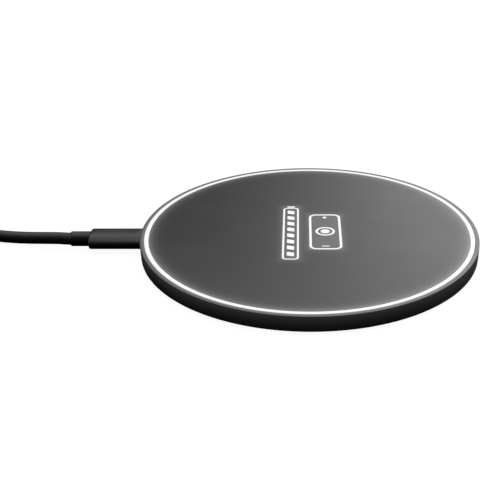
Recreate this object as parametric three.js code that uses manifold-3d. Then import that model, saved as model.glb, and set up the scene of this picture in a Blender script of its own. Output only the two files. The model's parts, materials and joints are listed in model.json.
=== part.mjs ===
// A round wireless charging pad with a lit rim, and the detachable lead that powers it.
// Millimetres, +Z up. The origin is on the table under the middle of the pad. The lead leaves
// towards +Y, so the marks on the top read the right way up from the -Y side.
import * as THREE from 'three';
import { mergeVertices } from 'three/addons/utils/BufferGeometryUtils.js';
import Module from 'manifold-3d';

const wasm = await Module();
wasm.setup();

// ---------------------------------------------------------------------------
// Driving dimensions of the pad
// ---------------------------------------------------------------------------
const padRadius = 50;
const footStandOff = 0.85; // how far the foot holds the underside off the table
const coverThickness = 0.65;
const reflectorThickness = 0.15;
const guideThickness = 0.5;
const panelThickness = 0.7;
const rimWidth = 1.2; // wall of the housing, seen from above as the rim
const litWidth = 1.2; // visible width of the lit ring
const topEdgeChamfer = 0.2;
const lowEdgeChamfer = 0.15;
const seatGap = 0.1; // between pieces that rest on each other or fit in each other
const solderGap = 0.05;

const footWidth = 5.3; // the foot's ring lies over the screws
const footSink = 0.25; // depth of the groove that the foot is bonded in

const ledgeWidth = 1.9; // inward reach of the ledge under the light board
const lightBoardThickness = 0.3;
const lightBoardWidth = 3.9;
const ledCount = 8;
const ledSize = { along: 1.6, across: 0.8, high: 0.6 };

const screwCount = 4;
const screwCoreRadius = 0.6;
const screwHeadRadius = 1.5;
const screwHeadHeight = 0.5;
const screwLength = 2.3; // from the top of the cover's groove to the tip
const bossWall = 1.3;
const bossHeight = 1.75;
const bossInset = 7.8; // screw axis inwards from the outer wall
const bossRibWidth = 2.4;
const screwPadHeight = 0.5; // raised seats round the screw holes of the cover
const screwPadWall = 1.65;
const screwPassGap = 0.35; // round the screw's core in the cover
const screwBite = 0.1; // clearance of the core in its boss

const ferriteMargin = 2.15; // the ferrite's disc beyond the coil
const ferriteThickness = 0.8;
const wireWidth = 1.0;
const wirePitch = 1.25;
const coilInnerRadius = 10.6;
const coilTurns = 9;
const foamInnerRadius = 14;
const foamOuterRadius = 20;
const leadStrip = { wide: 1.6, thick: 0.25 };
const outerLeadAngle = 60; // degrees from +X
const sensorBead = { long: 1.6, wide: 0.8, high: 0.8 };

const boardThickness = 0.6;
const boardStandOff = 0.5;
const boardGap = 2.5; // between the ferrite and the board
const boardBossGap = 0.4;
const boardHalfAngle = 65; // degrees each side of the socket
const boardTongueWing = 4.45; // width of the board beside the socket
const boardSetBack = 2; // from the ledge to the board's tongue
const boardPostRadius = 1.2;
const boardPostInset = 10; // degrees from the board's ends to its outer posts

// USB-C socket and plug, each an oval tube: width, height and wall
const socket = { wide: 9.1, high: 3.16, wall: 0.25, long: 7.2, back: 0.3 };
const socketRecess = 1.0; // mouth of the socket inwards from the pad's side
const socketHoleGap = 0.15;
const socketBayGap = 0.85; // beside the socket, in the pieces it passes
const socketTopGap = 0.14; // between the socket and the top panel
const slideGap = 0.14; // all round the plug in the socket
const tongueGap = 0.56; // between the socket's tongue and the plug's tube
const tongueLength = 5.0;
const plugTube = {
  wide: socket.wide - 2 * (socket.wall + slideGap),
  high: socket.high - 2 * (socket.wall + slideGap),
  wall: 0.3,
  long: 6.6,
  rooted: 4.7,
};
const plugInsertFront = 2.4; // front of the plug's insert inwards from the pad's side

// ---------------------------------------------------------------------------
// Driving dimensions of the lead
// ---------------------------------------------------------------------------
const plugGap = 0.3; // between the plug's face and the side of the pad
const gripWall = { side: 0.74, top: 1.2 }; // moulding beside and above the plug's tube
const grip = {
  wide: plugTube.wide + 2 * gripWall.side,
  high: plugTube.high + 2 * gripWall.top,
  long: 15.2,
  edge: 0.45,
};
const collarRadius = 2.27;
const collarLength = 6.1;
const collarEdge = 0.3;
const cordRadius = 1.85;
const cordStep = 5 * cordRadius; // along the cord's tube
const faceGap = 0.3; // between a cord's end and the piece it meets

// Where the cord runs before its coil, and from its coil to the far plug
const leadRoute = [
  [0.0, 71.9, 3.18],
  [0.2, 73.3, 3.16],
  [0.5, 74.9, 3.1],
  [0.9, 77.5, 2.97],
  [1.45, 80.8, 2.73],
  [2.1, 84.0, 2.45],
  [2.85, 87.0, 2.17],
  [3.6, 90.2, 1.96],
  [4.3, 93.2, 1.87],
  [5.05, 96.5, 1.86],
  [5.85, 100.0, 1.86],
  [6.6, 103.2, 1.86],
  [7.4, 106.5, 1.86],
  [8.2, 109.8, 1.86],
  [9.0, 113.1, 1.86],
];
const tailRoute = [
  [-20.5, 148.5, 5.5],
  [-24.5, 148.4, 5.25],
  [-28.5, 148.1, 4.85],
  [-32.5, 147.5, 4.35],
  [-36.4, 146.3, 3.9],
  [-40.1, 144.5, 3.6],
  [-43.4, 142.1, 3.4],
  [-46.2, 139.2, 3.4],
  [-48.5, 135.9, 3.5],
  [-50.1, 132.4, 3.75],
  [-51.0, 128.7, 3.95],
  [-51.2, 124.8, 4.0],
];
const coilCentre = [-14.9, 122.2];
const bundleInnerRadius = 10.5;
const bundleOuterRadius = 27.4;
const bundleHeight = 7.5;
const tieAngle = 140; // degrees from +X, seen from above
const tie = { wide: 6, thick: 0.5, gap: 0.3, corner: 1.2 };

// USB-A plug at the far end: it points towards -Y, its axis level with half its grip
const farPlug = { x: -51.2, rearY: 124.5 };
const farCollar = { rear: 2.3, front: 3.0, long: 7 };
const farGrip = { wide: 15.5, high: 8, long: 20, corner: 2.6, edge: 0.7 };
const farTube = { wide: 12, high: 4.5, wall: 0.4, long: 11.7, rooted: 4 };
const farInsert = { high: 1.8, shortBy: 1.2 };

// Fineness of the round shapes
const roundSteps = 96;
const foamSteps = 72;
const bundleSteps = 48;
const gripSteps = 28;
const smallSteps = 24;
const coilSteps = 20;
const boardSteps = 20;
const ovalSteps = 10;
const cordSides = 8;
const cornerSteps = 5;
const tieCornerSteps = 4;
const edgeSteps = 2;

const overshoot = 1; // how far a cutting shape runs past what it cuts
const mergeDistance = 1e-4;

// ---------------------------------------------------------------------------
// Levels and radii that follow from them
// ---------------------------------------------------------------------------
const coverTop = footStandOff + coverThickness;
const lightStack = reflectorThickness + guideThickness + 3 * seatGap; // from the bay to the panel
const coilStack = ferriteThickness + wireWidth + leadStrip.thick + 4 * seatGap;
const socketStack = socket.high + socketTopGap + seatGap - lightStack;
const bayHeight = Math.max(coilStack, socketStack); // free height for the coil and the board
const bayTop = coverTop + bayHeight;
const reflectorLow = bayTop + seatGap;
const guideLow = reflectorLow + reflectorThickness + seatGap;
const panelLow = guideLow + guideThickness + seatGap;
const padTop = panelLow + panelThickness;
const grooveTop = footStandOff + footSink;
const screwPadTop = coverTop + screwPadHeight;
const bossLow = screwPadTop + seatGap;
const bossTop = bossLow + bossHeight;
const ledLow = guideLow - seatGap - ledSize.high;
const lightBoardLow = ledLow - solderGap - lightBoardThickness;
const ledgeTop = lightBoardLow - seatGap;
const boardLow = coverTop + boardStandOff;
const boardTop = boardLow + boardThickness;
const portHeight = coverTop + seatGap + socket.high / 2; // height of the plug's axis

const wallInnerRadius = padRadius - rimWidth;
const fitRadius = wallInnerRadius - seatGap; // what fits inside the housing's wall
const litInnerRadius = fitRadius - litWidth;
const panelRadius = litInnerRadius - seatGap;
const lightBoardInnerRadius = fitRadius - lightBoardWidth;
const ledgeInnerRadius = wallInnerRadius - ledgeWidth;
const bossCircle = padRadius - bossInset;
const bossRadius = screwCoreRadius + screwBite + bossWall;
const footInnerRadius = bossCircle - footWidth / 2;
const footOuterRadius = bossCircle + footWidth / 2;
const coilOuterRadius = coilInnerRadius + wirePitch * coilTurns;
const ferriteRadius = coilOuterRadius + wireWidth / 2 + ferriteMargin;
const boardInnerRadius = ferriteRadius + boardGap;
const boardOuterRadius = bossCircle - bossRadius - boardBossGap;
const boardMiddleRadius = (boardInnerRadius + boardOuterRadius) / 2;
const socketMouth = padRadius - socketRecess;
const socketRear = socketMouth - socket.long;

// ---------------------------------------------------------------------------
// Finishes
// ---------------------------------------------------------------------------
const satinBlack = { color: 0x17181a, roughness: 0.42, metalness: 0 };
const panelBlack = { color: 0x3c3d3f, roughness: 0.3, metalness: 0 };
const litWhite = { color: 0xffffff, roughness: 0.4, metalness: 0 };
const frostedClear = { color: 0xe9edf0, roughness: 0.5, metalness: 0 };
const whiteFilm = { color: 0xf2f2f0, roughness: 0.6, metalness: 0 };
const silicone = { color: 0x202123, roughness: 0.8, metalness: 0 };
const boardGreen = { color: 0x1d5a38, roughness: 0.5, metalness: 0 };
const chipBlack = { color: 0x1b1b1d, roughness: 0.6, metalness: 0 };
const ceramicTan = { color: 0xa88a64, roughness: 0.5, metalness: 0 };
const ferriteGrey = { color: 0x3a3a3c, roughness: 0.7, metalness: 0 };
const copper = { color: 0xb36a3c, roughness: 0.35, metalness: 1 };
const steel = { color: 0xb9bcc0, roughness: 0.3, metalness: 1 };
const foamGrey = { color: 0x55575a, roughness: 0.95, metalness: 0 };
const mouldedBlack = { color: 0x141517, roughness: 0.5, metalness: 0 };
const cordBlack = { color: 0x121315, roughness: 0.45, metalness: 0 };
const tieBlack = { color: 0x1c1d1f, roughness: 0.9, metalness: 0 };

// ---------------------------------------------------------------------------
// Shapes
// ---------------------------------------------------------------------------
const radians = (degrees) => (degrees * Math.PI) / 180;

// A solid turned about Z from a profile of [radius, height] pairs.
function turned(profile, steps = roundSteps) {
  const points = profile.map(([radius, height]) => new THREE.Vector2(radius, height));
  return new THREE.LatheGeometry(points, steps).rotateX(Math.PI / 2);
}

function turnedDisc(radius, low, high, steps = roundSteps) {
  return turned([[0, low], [radius, low], [radius, high], [0, high]], steps);
}

function turnedRing(inner, outer, low, high, steps = roundSteps) {
  return turned([[inner, low], [outer, low], [outer, high], [inner, high], [inner, low]], steps);
}

function block(wide, deep, high) {
  return new THREE.BoxGeometry(wide, deep, high);
}

// A block given by its lowest and highest corner.
function blockBetween(low, high) {
  const size = low.map((value, i) => high[i] - value);
  const middle = low.map((value, i) => (high[i] + value) / 2);
  return block(...size).translate(...middle);
}

function ovalOutline(wide, high) {
  const end = high / 2;
  const straight = wide / 2 - end;
  const outline = new THREE.Shape();
  outline.absarc(straight, 0, end, -Math.PI / 2, Math.PI / 2, false);
  outline.absarc(-straight, 0, end, Math.PI / 2, (3 * Math.PI) / 2, false);
  outline.closePath();
  return outline;
}

function roundedOutline(wide, high, corner) {
  const x = wide / 2 - corner;
  const y = high / 2 - corner;
  const outline = new THREE.Shape();
  outline.absarc(x, -y, corner, -Math.PI / 2, 0, false);
  outline.absarc(x, y, corner, 0, Math.PI / 2, false);
  outline.absarc(-x, y, corner, Math.PI / 2, Math.PI, false);
  outline.absarc(-x, -y, corner, Math.PI, (3 * Math.PI) / 2, false);
  outline.closePath();
  return outline;
}

// An outline drawn in X and Z, drawn out along +Y from y = start to y = end.
function drawnAlongY(outline, start, end, curveSegments = ovalSteps) {
  const options = { depth: end - start, bevelEnabled: false, curveSegments };
  return new THREE.ExtrudeGeometry(outline, options).rotateX(-Math.PI / 2).translate(0, start, 0);
}

// The same, with rounded edges at both ends, inside the outline's full size.
function softBar(outline, start, end, edge, curveSegments) {
  const options = {
    depth: end - start - 2 * edge,
    bevelEnabled: true,
    bevelThickness: edge,
    bevelSize: edge,
    bevelOffset: -edge,
    bevelSegments: edgeSteps,
    curveSegments,
  };
  const bar = new THREE.ExtrudeGeometry(outline, options).rotateX(-Math.PI / 2);
  return bar.translate(0, start + edge, 0);
}

function cordTube(points) {
  const curve = new THREE.CatmullRomCurve3(points.map((point) => new THREE.Vector3(...point)));
  const section = new THREE.Shape();
  for (let side = 0; side < cordSides; side += 1) {
    const angle = (2 * Math.PI * side) / cordSides;
    const x = cordRadius * Math.cos(angle);
    const y = cordRadius * Math.sin(angle);
    if (side === 0) section.moveTo(x, y);
    else section.lineTo(x, y);
  }
  section.closePath();
  const steps = Math.max(points.length, Math.round(curve.getLength() / cordStep));
  return new THREE.ExtrudeGeometry(section, { steps, extrudePath: curve, bevelEnabled: false });
}

// ---------------------------------------------------------------------------
// Cutting and joining
// ---------------------------------------------------------------------------
function solidOf(geometry) {
  const bare = geometry.clone();
  bare.deleteAttribute('normal');
  bare.deleteAttribute('uv');
  const merged = mergeVertices(bare, mergeDistance);
  const corners = merged.index.array;
  const triangles = [];
  for (let i = 0; i < corners.length; i += 3) {
    const [a, b, c] = corners.slice(i, i + 3);
    if (a !== b && b !== c && c !== a) triangles.push(a, b, c);
  }
  const vertProperties = new Float32Array(merged.attributes.position.array);
  const triVerts = new Uint32Array(triangles);
  return new wasm.Manifold(new wasm.Mesh({ numProp: 3, vertProperties, triVerts }));
}

function geometryOf(solid) {
  const mesh = solid.getMesh();
  const geometry = new THREE.BufferGeometry();
  geometry.setAttribute('position', new THREE.BufferAttribute(mesh.vertProperties, 3));
  geometry.setIndex(new THREE.BufferAttribute(mesh.triVerts, 1));
  return geometry;
}

function cut(geometry, ...tools) {
  const rest = tools.reduce((solid, tool) => solid.subtract(solidOf(tool)), solidOf(geometry));
  return geometryOf(rest);
}

function join(...geometries) {
  return geometryOf(geometries.map(solidOf).reduce((sum, solid) => sum.add(solid)));
}

function addPiece(group, name, geometry, finish) {
  const mesh = new THREE.Mesh(geometry, new THREE.MeshStandardMaterial(finish));
  mesh.name = name;
  group.add(mesh);
  return mesh;
}

// ---------------------------------------------------------------------------
// The pad's case
// ---------------------------------------------------------------------------
const screwAngles = Array.from({ length: screwCount }, (_, i) => radians(45 + (360 / screwCount) * i));

// Room for the socket in the pieces that it passes through, up to y = end.
function socketBay(end = padRadius) {
  const halfWidth = socket.wide / 2 + socketBayGap;
  return blockBetween([-halfWidth, socketRear - socketBayGap, 0], [halfWidth, end, panelLow]);
}

function atScrew(geometry, angle) {
  return geometry.translate(bossCircle * Math.cos(angle), bossCircle * Math.sin(angle), 0);
}

function screwBoss(angle) {
  const post = turnedDisc(bossRadius, bossLow, bossTop, smallSteps);
  const ribStart = bossCircle + screwCoreRadius + 2 * screwBite;
  const ribEnd = wallInnerRadius - ledgeWidth / 2;
  const rib = blockBetween([ribStart, -bossRibWidth / 2, bossLow], [ribEnd, bossRibWidth / 2, ledgeTop]);
  return [atScrew(post, angle), rib.rotateZ(angle)];
}

function screwHole(angle) {
  const top = grooveTop + screwLength + 2 * seatGap;
  return atScrew(turnedDisc(screwCoreRadius + screwBite, 0, top, smallSteps), angle);
}

function housing() {
  const ledgeLow = coverTop + seatGap;
  const shell = turned([
    [wallInnerRadius, footStandOff],
    [padRadius - lowEdgeChamfer, footStandOff],
    [padRadius, footStandOff + lowEdgeChamfer],
    [padRadius, padTop - topEdgeChamfer],
    [padRadius - topEdgeChamfer, padTop],
    [wallInnerRadius, padTop],
    [wallInnerRadius, ledgeTop],
    [ledgeInnerRadius, ledgeTop],
    [ledgeInnerRadius, ledgeLow],
    [wallInnerRadius, ledgeLow],
    [wallInnerRadius, footStandOff],
  ]);
  const bosses = screwAngles.flatMap(screwBoss);
  const holeOutline = ovalOutline(socket.wide + 2 * socketHoleGap, socket.high + 2 * socketHoleGap);
  const hole = drawnAlongY(holeOutline, socketRear, padRadius + rimWidth).translate(0, 0, portHeight);
  const ledgeGap = socketBay(wallInnerRadius - socketBayGap);
  return cut(join(shell, ...bosses), ledgeGap, hole, ...screwAngles.map(screwHole));
}

function screwSeat(angle) {
  const headWide = screwHeadRadius + seatGap;
  const passRadius = screwCoreRadius + screwPassGap;
  const headTop = grooveTop + screwHeadHeight + 2 * seatGap;
  const profile = [[0, 0], [headWide, 0], [headWide, grooveTop], [passRadius, headTop]];
  profile.push([passRadius, padTop], [0, padTop]);
  return atScrew(turned(profile, smallSteps), angle);
}

function bottomCover() {
  const grooveInner = footInnerRadius - seatGap;
  const grooveOuter = footOuterRadius + seatGap;
  const plate = turned([
    [0, footStandOff],
    [grooveInner, footStandOff],
    [grooveInner, grooveTop],
    [grooveOuter, grooveTop],
    [grooveOuter, footStandOff],
    [fitRadius, footStandOff],
    [fitRadius, coverTop],
    [0, coverTop],
  ]);
  const middle = (footStandOff + coverTop) / 2 + footSink / 2;
  const padOuter = screwCoreRadius + screwPassGap + screwPadWall;
  const seats = screwAngles.map((angle) => {
    return atScrew(turnedDisc(padOuter, middle, screwPadTop, smallSteps), angle);
  });
  const posts = [-1, 0, 1].map((side) => {
    const post = turnedDisc(boardPostRadius, middle, boardLow - seatGap, smallSteps);
    const angle = radians(90 + side * (boardHalfAngle - boardPostInset));
    return post.translate(boardMiddleRadius * Math.cos(angle), boardMiddleRadius * Math.sin(angle), 0);
  });
  return cut(join(plate, ...seats, ...posts), ...screwAngles.map(screwSeat));
}

function coverScrew() {
  const low = grooveTop + seatGap / 2;
  const headTop = low + screwHeadHeight;
  const tip = grooveTop + screwLength;
  const profile = [[0, low], [screwHeadRadius, low], [screwCoreRadius, headTop]];
  profile.push([screwCoreRadius, tip - screwCoreRadius / 2], [screwCoreRadius / 2, tip], [0, tip]);
  return turned(profile, smallSteps);
}

function addCase(pad) {
  addPiece(pad, 'housing', housing(), satinBlack);
  addPiece(pad, 'bottom_cover', bottomCover(), satinBlack);
  const foot = turnedRing(footInnerRadius, footOuterRadius, 0, grooveTop - seatGap);
  addPiece(pad, 'anti_slip_foot', foot, silicone);
  addPiece(pad, 'top_panel', turnedDisc(panelRadius, panelLow, padTop), panelBlack);
  screwAngles.forEach((angle, i) => {
    const screw = addPiece(pad, `cover_screw_${i + 1}`, coverScrew(), steel);
    screw.position.set(bossCircle * Math.cos(angle), bossCircle * Math.sin(angle), 0);
  });
}

// ---------------------------------------------------------------------------
// Lighting: the lit ring, the plate that carries the light, and the lamps under its edge
// ---------------------------------------------------------------------------
function addLighting(pad) {
  const guideTop = guideLow + guideThickness;
  const reflectorTop = reflectorLow + reflectorThickness;
  const reflectorRadius = lightBoardInnerRadius - seatGap;
  const lightBoardTop = lightBoardLow + lightBoardThickness;
  const lightBoard = turnedRing(lightBoardInnerRadius, fitRadius, lightBoardLow, lightBoardTop);
  addPiece(pad, 'light_ring', turnedRing(litInnerRadius, fitRadius, panelLow, padTop), litWhite);
  addPiece(pad, 'light_guide', cut(turnedDisc(fitRadius, guideLow, guideTop), socketBay()), frostedClear);
  const reflector = cut(turnedDisc(reflectorRadius, reflectorLow, reflectorTop), socketBay());
  addPiece(pad, 'reflector_sheet', reflector, whiteFilm);
  addPiece(pad, 'light_board', cut(lightBoard, socketBay()), boardGreen);
  const ledCircle = lightBoardInnerRadius + lightBoardWidth / 2;
  for (let i = 0; i < ledCount; i += 1) {
    const angle = radians((360 / ledCount) * (i + 0.5));
    const led = addPiece(pad, `led_${i + 1}`, block(ledSize.across, ledSize.along, ledSize.high), whiteFilm);
    const height = ledLow + ledSize.high / 2;
    led.position.set(ledCircle * Math.cos(angle), ledCircle * Math.sin(angle), height);
    led.rotation.z = angle;
  }
}

// ---------------------------------------------------------------------------
// The charging coil and what it lies on
// ---------------------------------------------------------------------------
// A flat spiral of wire, drawn as its outer edge outwards and its inner edge back.
function spiralWire(low) {
  const steps = coilTurns * coilSteps;
  const edge = (side) => {
    return Array.from({ length: steps + 1 }, (_, i) => {
      const turn = i / coilSteps;
      const radius = coilInnerRadius + wirePitch * turn + (side * wireWidth) / 2;
      const angle = 2 * Math.PI * turn;
      return new THREE.Vector2(radius * Math.cos(angle), radius * Math.sin(angle));
    });
  };
  const outline = new THREE.Shape([...edge(1), ...edge(-1).reverse()]);
  const wire = new THREE.ExtrudeGeometry(outline, { depth: wireWidth, bevelEnabled: false });
  return wire.translate(0, 0, low);
}

function addCoil(pad) {
  const ferriteLow = coverTop + seatGap;
  const wireLow = ferriteLow + ferriteThickness + seatGap;
  const wireTop = wireLow + wireWidth;
  const ferriteTop = ferriteLow + ferriteThickness;
  addPiece(pad, 'ferrite_disc', turnedDisc(ferriteRadius, ferriteLow, ferriteTop), ferriteGrey);
  addPiece(pad, 'charging_coil', spiralWire(wireLow), copper);

  // The inner end crosses over the turns towards the board; the outer end goes straight to it.
  const overLow = wireTop + seatGap;
  const overTop = overLow + leadStrip.thick;
  const halfStrip = leadStrip.wide / 2;
  const boardEdge = boardInnerRadius + 2 * leadStrip.wide;
  const innerStart = coilInnerRadius;
  const innerLead = blockBetween([-halfStrip, innerStart, overLow], [halfStrip, boardEdge, overTop]);
  addPiece(pad, 'coil_lead_inner', innerLead, copper);
  const outerLow = boardTop + seatGap;
  const outerStart = coilOuterRadius + wireWidth;
  const outerEnd = boardInnerRadius + leadStrip.wide;
  const outerLead = block(outerEnd - outerStart, leadStrip.wide, leadStrip.thick);
  const outer = addPiece(pad, 'coil_lead_outer', outerLead, copper);
  const outerAngle = radians(outerLeadAngle);
  const outerMiddle = (outerStart + outerEnd) / 2;
  outer.position.set(
    outerMiddle * Math.cos(outerAngle),
    outerMiddle * Math.sin(outerAngle),
    outerLow + leadStrip.thick / 2,
  );
  outer.rotation.z = outerAngle;

  const foam = turnedRing(foamInnerRadius, foamOuterRadius, overLow, bayTop, foamSteps);
  const notchHalf = halfStrip + 2 * seatGap;
  const notch = blockBetween([-notchHalf, 0, 0], [notchHalf, foamOuterRadius + notchHalf, padTop]);
  addPiece(pad, 'foam_ring', cut(foam, notch), foamGrey);
  const bead = block(sensorBead.long, sensorBead.wide, sensorBead.high);
  addPiece(pad, 'thermistor', bead, chipBlack).position.z = wireLow + sensorBead.high / 2;
}

// ---------------------------------------------------------------------------
// The main board, what is soldered to it, and the socket
// ---------------------------------------------------------------------------
function mainBoard() {
  const from = radians(90 - boardHalfAngle);
  const to = radians(90 + boardHalfAngle);
  const outline = new THREE.Shape();
  outline.absarc(0, 0, boardOuterRadius, from, to, false);
  outline.absarc(0, 0, boardInnerRadius, to, from, true);
  outline.closePath();
  const options = { depth: boardThickness, bevelEnabled: false, curveSegments: boardSteps };
  const arc = new THREE.ExtrudeGeometry(outline, options).translate(0, 0, boardLow);
  const half = socket.wide / 2 + boardTongueWing;
  const tongueEnd = ledgeInnerRadius - boardSetBack;
  const tongue = blockBetween([-half, boardMiddleRadius, boardLow], [half, tongueEnd, boardTop]);
  const slotHalf = socket.wide / 2 + socketHoleGap;
  const slotStart = socketRear - socketHoleGap;
  const slot = blockBetween([-slotHalf, slotStart, 0], [slotHalf, padRadius, padTop]);
  return cut(join(arc, tongue), slot);
}

// name, length, width, height, distance outwards from the board's middle circle, degrees from +X
const boardParts = [
  ['charge_controller', 5, 5, 0.8, 0, 104, chipBlack],
  ['power_stage', 4, 4, 0.8, 0, 78, chipBlack],
  ['power_inductor', 4, 4, 1.2, 0, 62, ferriteGrey],
  ['input_capacitor', 3.2, 2.5, 1.2, 3.6, 90, ceramicTan],
  ['resonant_capacitor_1', 3.2, 1.6, 1.2, 0, 122, ceramicTan],
  ['resonant_capacitor_2', 3.2, 1.6, 1.2, 0, 128, ceramicTan],
  ['resonant_capacitor_3', 3.2, 1.6, 1.2, 0, 134, ceramicTan],
  ['resonant_capacitor_4', 3.2, 1.6, 1.2, 0, 140, ceramicTan],
];

function addBoard(pad) {
  addPiece(pad, 'main_board', mainBoard(), boardGreen);
  boardParts.forEach(([name, long, wide, high, outwards, degrees, finish]) => {
    const part = addPiece(pad, name, block(long, wide, high), finish);
    const circle = boardMiddleRadius + outwards;
    const angle = radians(degrees);
    const height = boardTop + solderGap + high / 2;
    part.position.set(circle * Math.cos(angle), circle * Math.sin(angle), height);
    part.rotation.z = angle;
  });
}

function ovalTube(tube, start, end, closedBy = 0) {
  const outside = drawnAlongY(ovalOutline(tube.wide, tube.high), start, end);
  const boreOutline = ovalOutline(tube.wide - 2 * tube.wall, tube.high - 2 * tube.wall);
  const boreStart = closedBy > 0 ? start + closedBy : start - overshoot;
  return cut(outside, drawnAlongY(boreOutline, boreStart, end + overshoot));
}

function addSocket(pad) {
  const shell = addPiece(pad, 'socket_shell', ovalTube(socket, socketRear, socketMouth, socket.back), steel);
  shell.position.z = portHeight;
  const tongueStart = socketRear + socket.back + seatGap;
  const tongueWide = plugTube.wide - 2 * (plugTube.wall + tongueGap);
  const tongueHigh = plugTube.high - 2 * (plugTube.wall + tongueGap);
  const tongue = addPiece(pad, 'socket_tongue', block(tongueWide, tongueLength, tongueHigh), chipBlack);
  tongue.position.set(0, tongueStart + tongueLength / 2, portHeight);
}

// ---------------------------------------------------------------------------
// The plug in the pad's side
// ---------------------------------------------------------------------------
const plugFace = padRadius + plugGap;
const gripEnd = plugFace + grip.long;
const plugTubeEnd = plugFace + plugTube.rooted;

function gripBody() {
  const outline = new THREE.Shape();
  outline.absellipse(0, 0, grip.wide / 2, grip.high / 2, 0, 2 * Math.PI, false);
  const start = plugFace - grip.wide / 2;
  const body = softBar(outline, start, gripEnd, grip.edge, gripSteps).translate(0, 0, portHeight);
  const padSide = turnedDisc(plugFace, -grip.high, padTop + grip.high);
  const pocketOutline = ovalOutline(plugTube.wide + 2 * seatGap, plugTube.high + 2 * seatGap);
  const pocketEnd = plugTubeEnd + seatGap;
  const pocket = drawnAlongY(pocketOutline, start, pocketEnd).translate(0, 0, portHeight);
  return cut(body, padSide, pocket);
}

// A turned piece with its axis along +Y, from y = start to y = end.
function turnedAlongY(profile, steps) {
  return turned(profile, steps).rotateX(-Math.PI / 2);
}

function addPlug(lead) {
  const tube = ovalTube(plugTube, plugFace - plugTube.long, plugTubeEnd);
  addPiece(lead, 'plug_shell', tube, steel).position.z = portHeight;
  const insertWide = plugTube.wide - 2 * plugTube.wall - 2 * seatGap;
  const insertHigh = plugTube.high - 2 * plugTube.wall - 2 * seatGap;
  const insertStart = padRadius - plugInsertFront;
  const insert = drawnAlongY(ovalOutline(insertWide, insertHigh), insertStart, plugTubeEnd - seatGap);
  addPiece(lead, 'plug_insert', insert, chipBlack).position.z = portHeight;
  addPiece(lead, 'plug_grip', gripBody(), mouldedBlack);
  const start = gripEnd + seatGap;
  const end = start + collarLength - seatGap;
  const collarProfile = [
    [0, start],
    [collarRadius, start],
    [collarRadius, end - collarEdge],
    [collarRadius - collarEdge, end],
    [0, end],
  ];
  const collar = addPiece(lead, 'plug_collar', turnedAlongY(collarProfile, smallSteps), mouldedBlack);
  collar.position.z = portHeight;
}

// ---------------------------------------------------------------------------
// The cord, its coil and the tie round it
// ---------------------------------------------------------------------------
function bundleRing(grow) {
  const inner = bundleInnerRadius - grow;
  const outer = bundleOuterRadius + grow;
  const corner = cordRadius;
  const low = -grow;
  const high = bundleHeight + grow;
  const ring = turned([
    [inner, low + corner],
    [inner + corner, low],
    [outer - corner, low],
    [outer, low + corner],
    [outer, high - corner],
    [outer - corner, high],
    [inner + corner, high],
    [inner, high - corner],
    [inner, low + corner],
  ], bundleSteps);
  return ring.translate(coilCentre[0], coilCentre[1], 0);
}

// The strap's loop lies across the bundle: its outline is drawn in radius and height.
const tieLoopWide = bundleOuterRadius - bundleInnerRadius;
const tieLoopHigh = bundleHeight;

function placeTie(geometry) {
  const middle = (bundleInnerRadius + bundleOuterRadius) / 2;
  geometry.translate(middle, 0, (tieLoopHigh + tie.thick) / 2);
  return geometry.rotateZ(radians(tieAngle)).translate(coilCentre[0], coilCentre[1], 0);
}

function tieLoop(wide, grow) {
  const outerWide = tieLoopWide + tie.thick;
  const outerHigh = tieLoopHigh + tie.thick;
  const outline = roundedOutline(outerWide + 2 * grow, outerHigh + 2 * grow, tie.corner);
  const innerWide = outerWide - 2 * (tie.thick + grow);
  const innerHigh = outerHigh - 2 * (tie.thick + grow);
  outline.holes.push(roundedOutline(innerWide, innerHigh, tie.corner / 2));
  return placeTie(drawnAlongY(outline, -wide / 2, wide / 2, tieCornerSteps));
}

function addCord(lead) {
  const clearOfBundle = bundleRing(faceGap);
  const notch = tieLoop(tie.wide + 2 * tie.gap, tie.gap);
  addPiece(lead, 'cord_lead', cut(cordTube(leadRoute), clearOfBundle), cordBlack);
  addPiece(lead, 'cord_coil', cut(bundleRing(0), notch), cordBlack);
  addPiece(lead, 'cord_tail', cut(cordTube(tailRoute), clearOfBundle), cordBlack);
  addPiece(lead, 'cable_tie', tieLoop(tie.wide, 0), tieBlack);
}

// ---------------------------------------------------------------------------
// The plug at the far end, drawn along +Y and turned to point along -Y
// ---------------------------------------------------------------------------
function addFarPlug(lead) {
  const far = new THREE.Group();
  far.position.set(farPlug.x, farPlug.rearY, farGrip.high / 2);
  far.rotation.z = Math.PI;
  lead.add(far);

  const gripStart = farCollar.long + seatGap;
  const gripFace = gripStart + farGrip.long;
  const tubeRoot = gripFace - farTube.rooted;
  const collarProfile = [
    [0, 0],
    [farCollar.rear, 0],
    [farCollar.front, farCollar.long],
    [0, farCollar.long],
  ];
  addPiece(far, 'far_plug_collar', turnedAlongY(collarProfile, smallSteps), mouldedBlack);

  const outline = roundedOutline(farGrip.wide, farGrip.high, farGrip.corner);
  const body = softBar(outline, gripStart, gripFace, farGrip.edge, cornerSteps);
  const pocketSize = [farTube.wide + 2 * faceGap, farGrip.long, farTube.high + 2 * faceGap];
  const pocket = block(...pocketSize).translate(0, tubeRoot - faceGap + farGrip.long / 2, 0);
  addPiece(far, 'far_plug_grip', cut(body, pocket), mouldedBlack);

  const tubeLong = farTube.long + farTube.rooted;
  const boreLong = tubeLong + 2 * overshoot;
  const bore = [farTube.wide - 2 * farTube.wall, boreLong, farTube.high - 2 * farTube.wall];
  const tube = cut(block(farTube.wide, tubeLong, farTube.high), block(...bore));
  addPiece(far, 'far_plug_shell', tube, steel).position.y = tubeRoot + tubeLong / 2;

  const insertLong = tubeLong - farInsert.shortBy;
  const insertWide = bore[0] - 2 * faceGap;
  const insert = addPiece(far, 'far_plug_insert', block(insertWide, insertLong, farInsert.high), chipBlack);
  const insertDrop = (bore[2] - farInsert.high) / 2 - faceGap;
  insert.position.set(0, tubeRoot + insertLong / 2, insertDrop);
}

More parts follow.
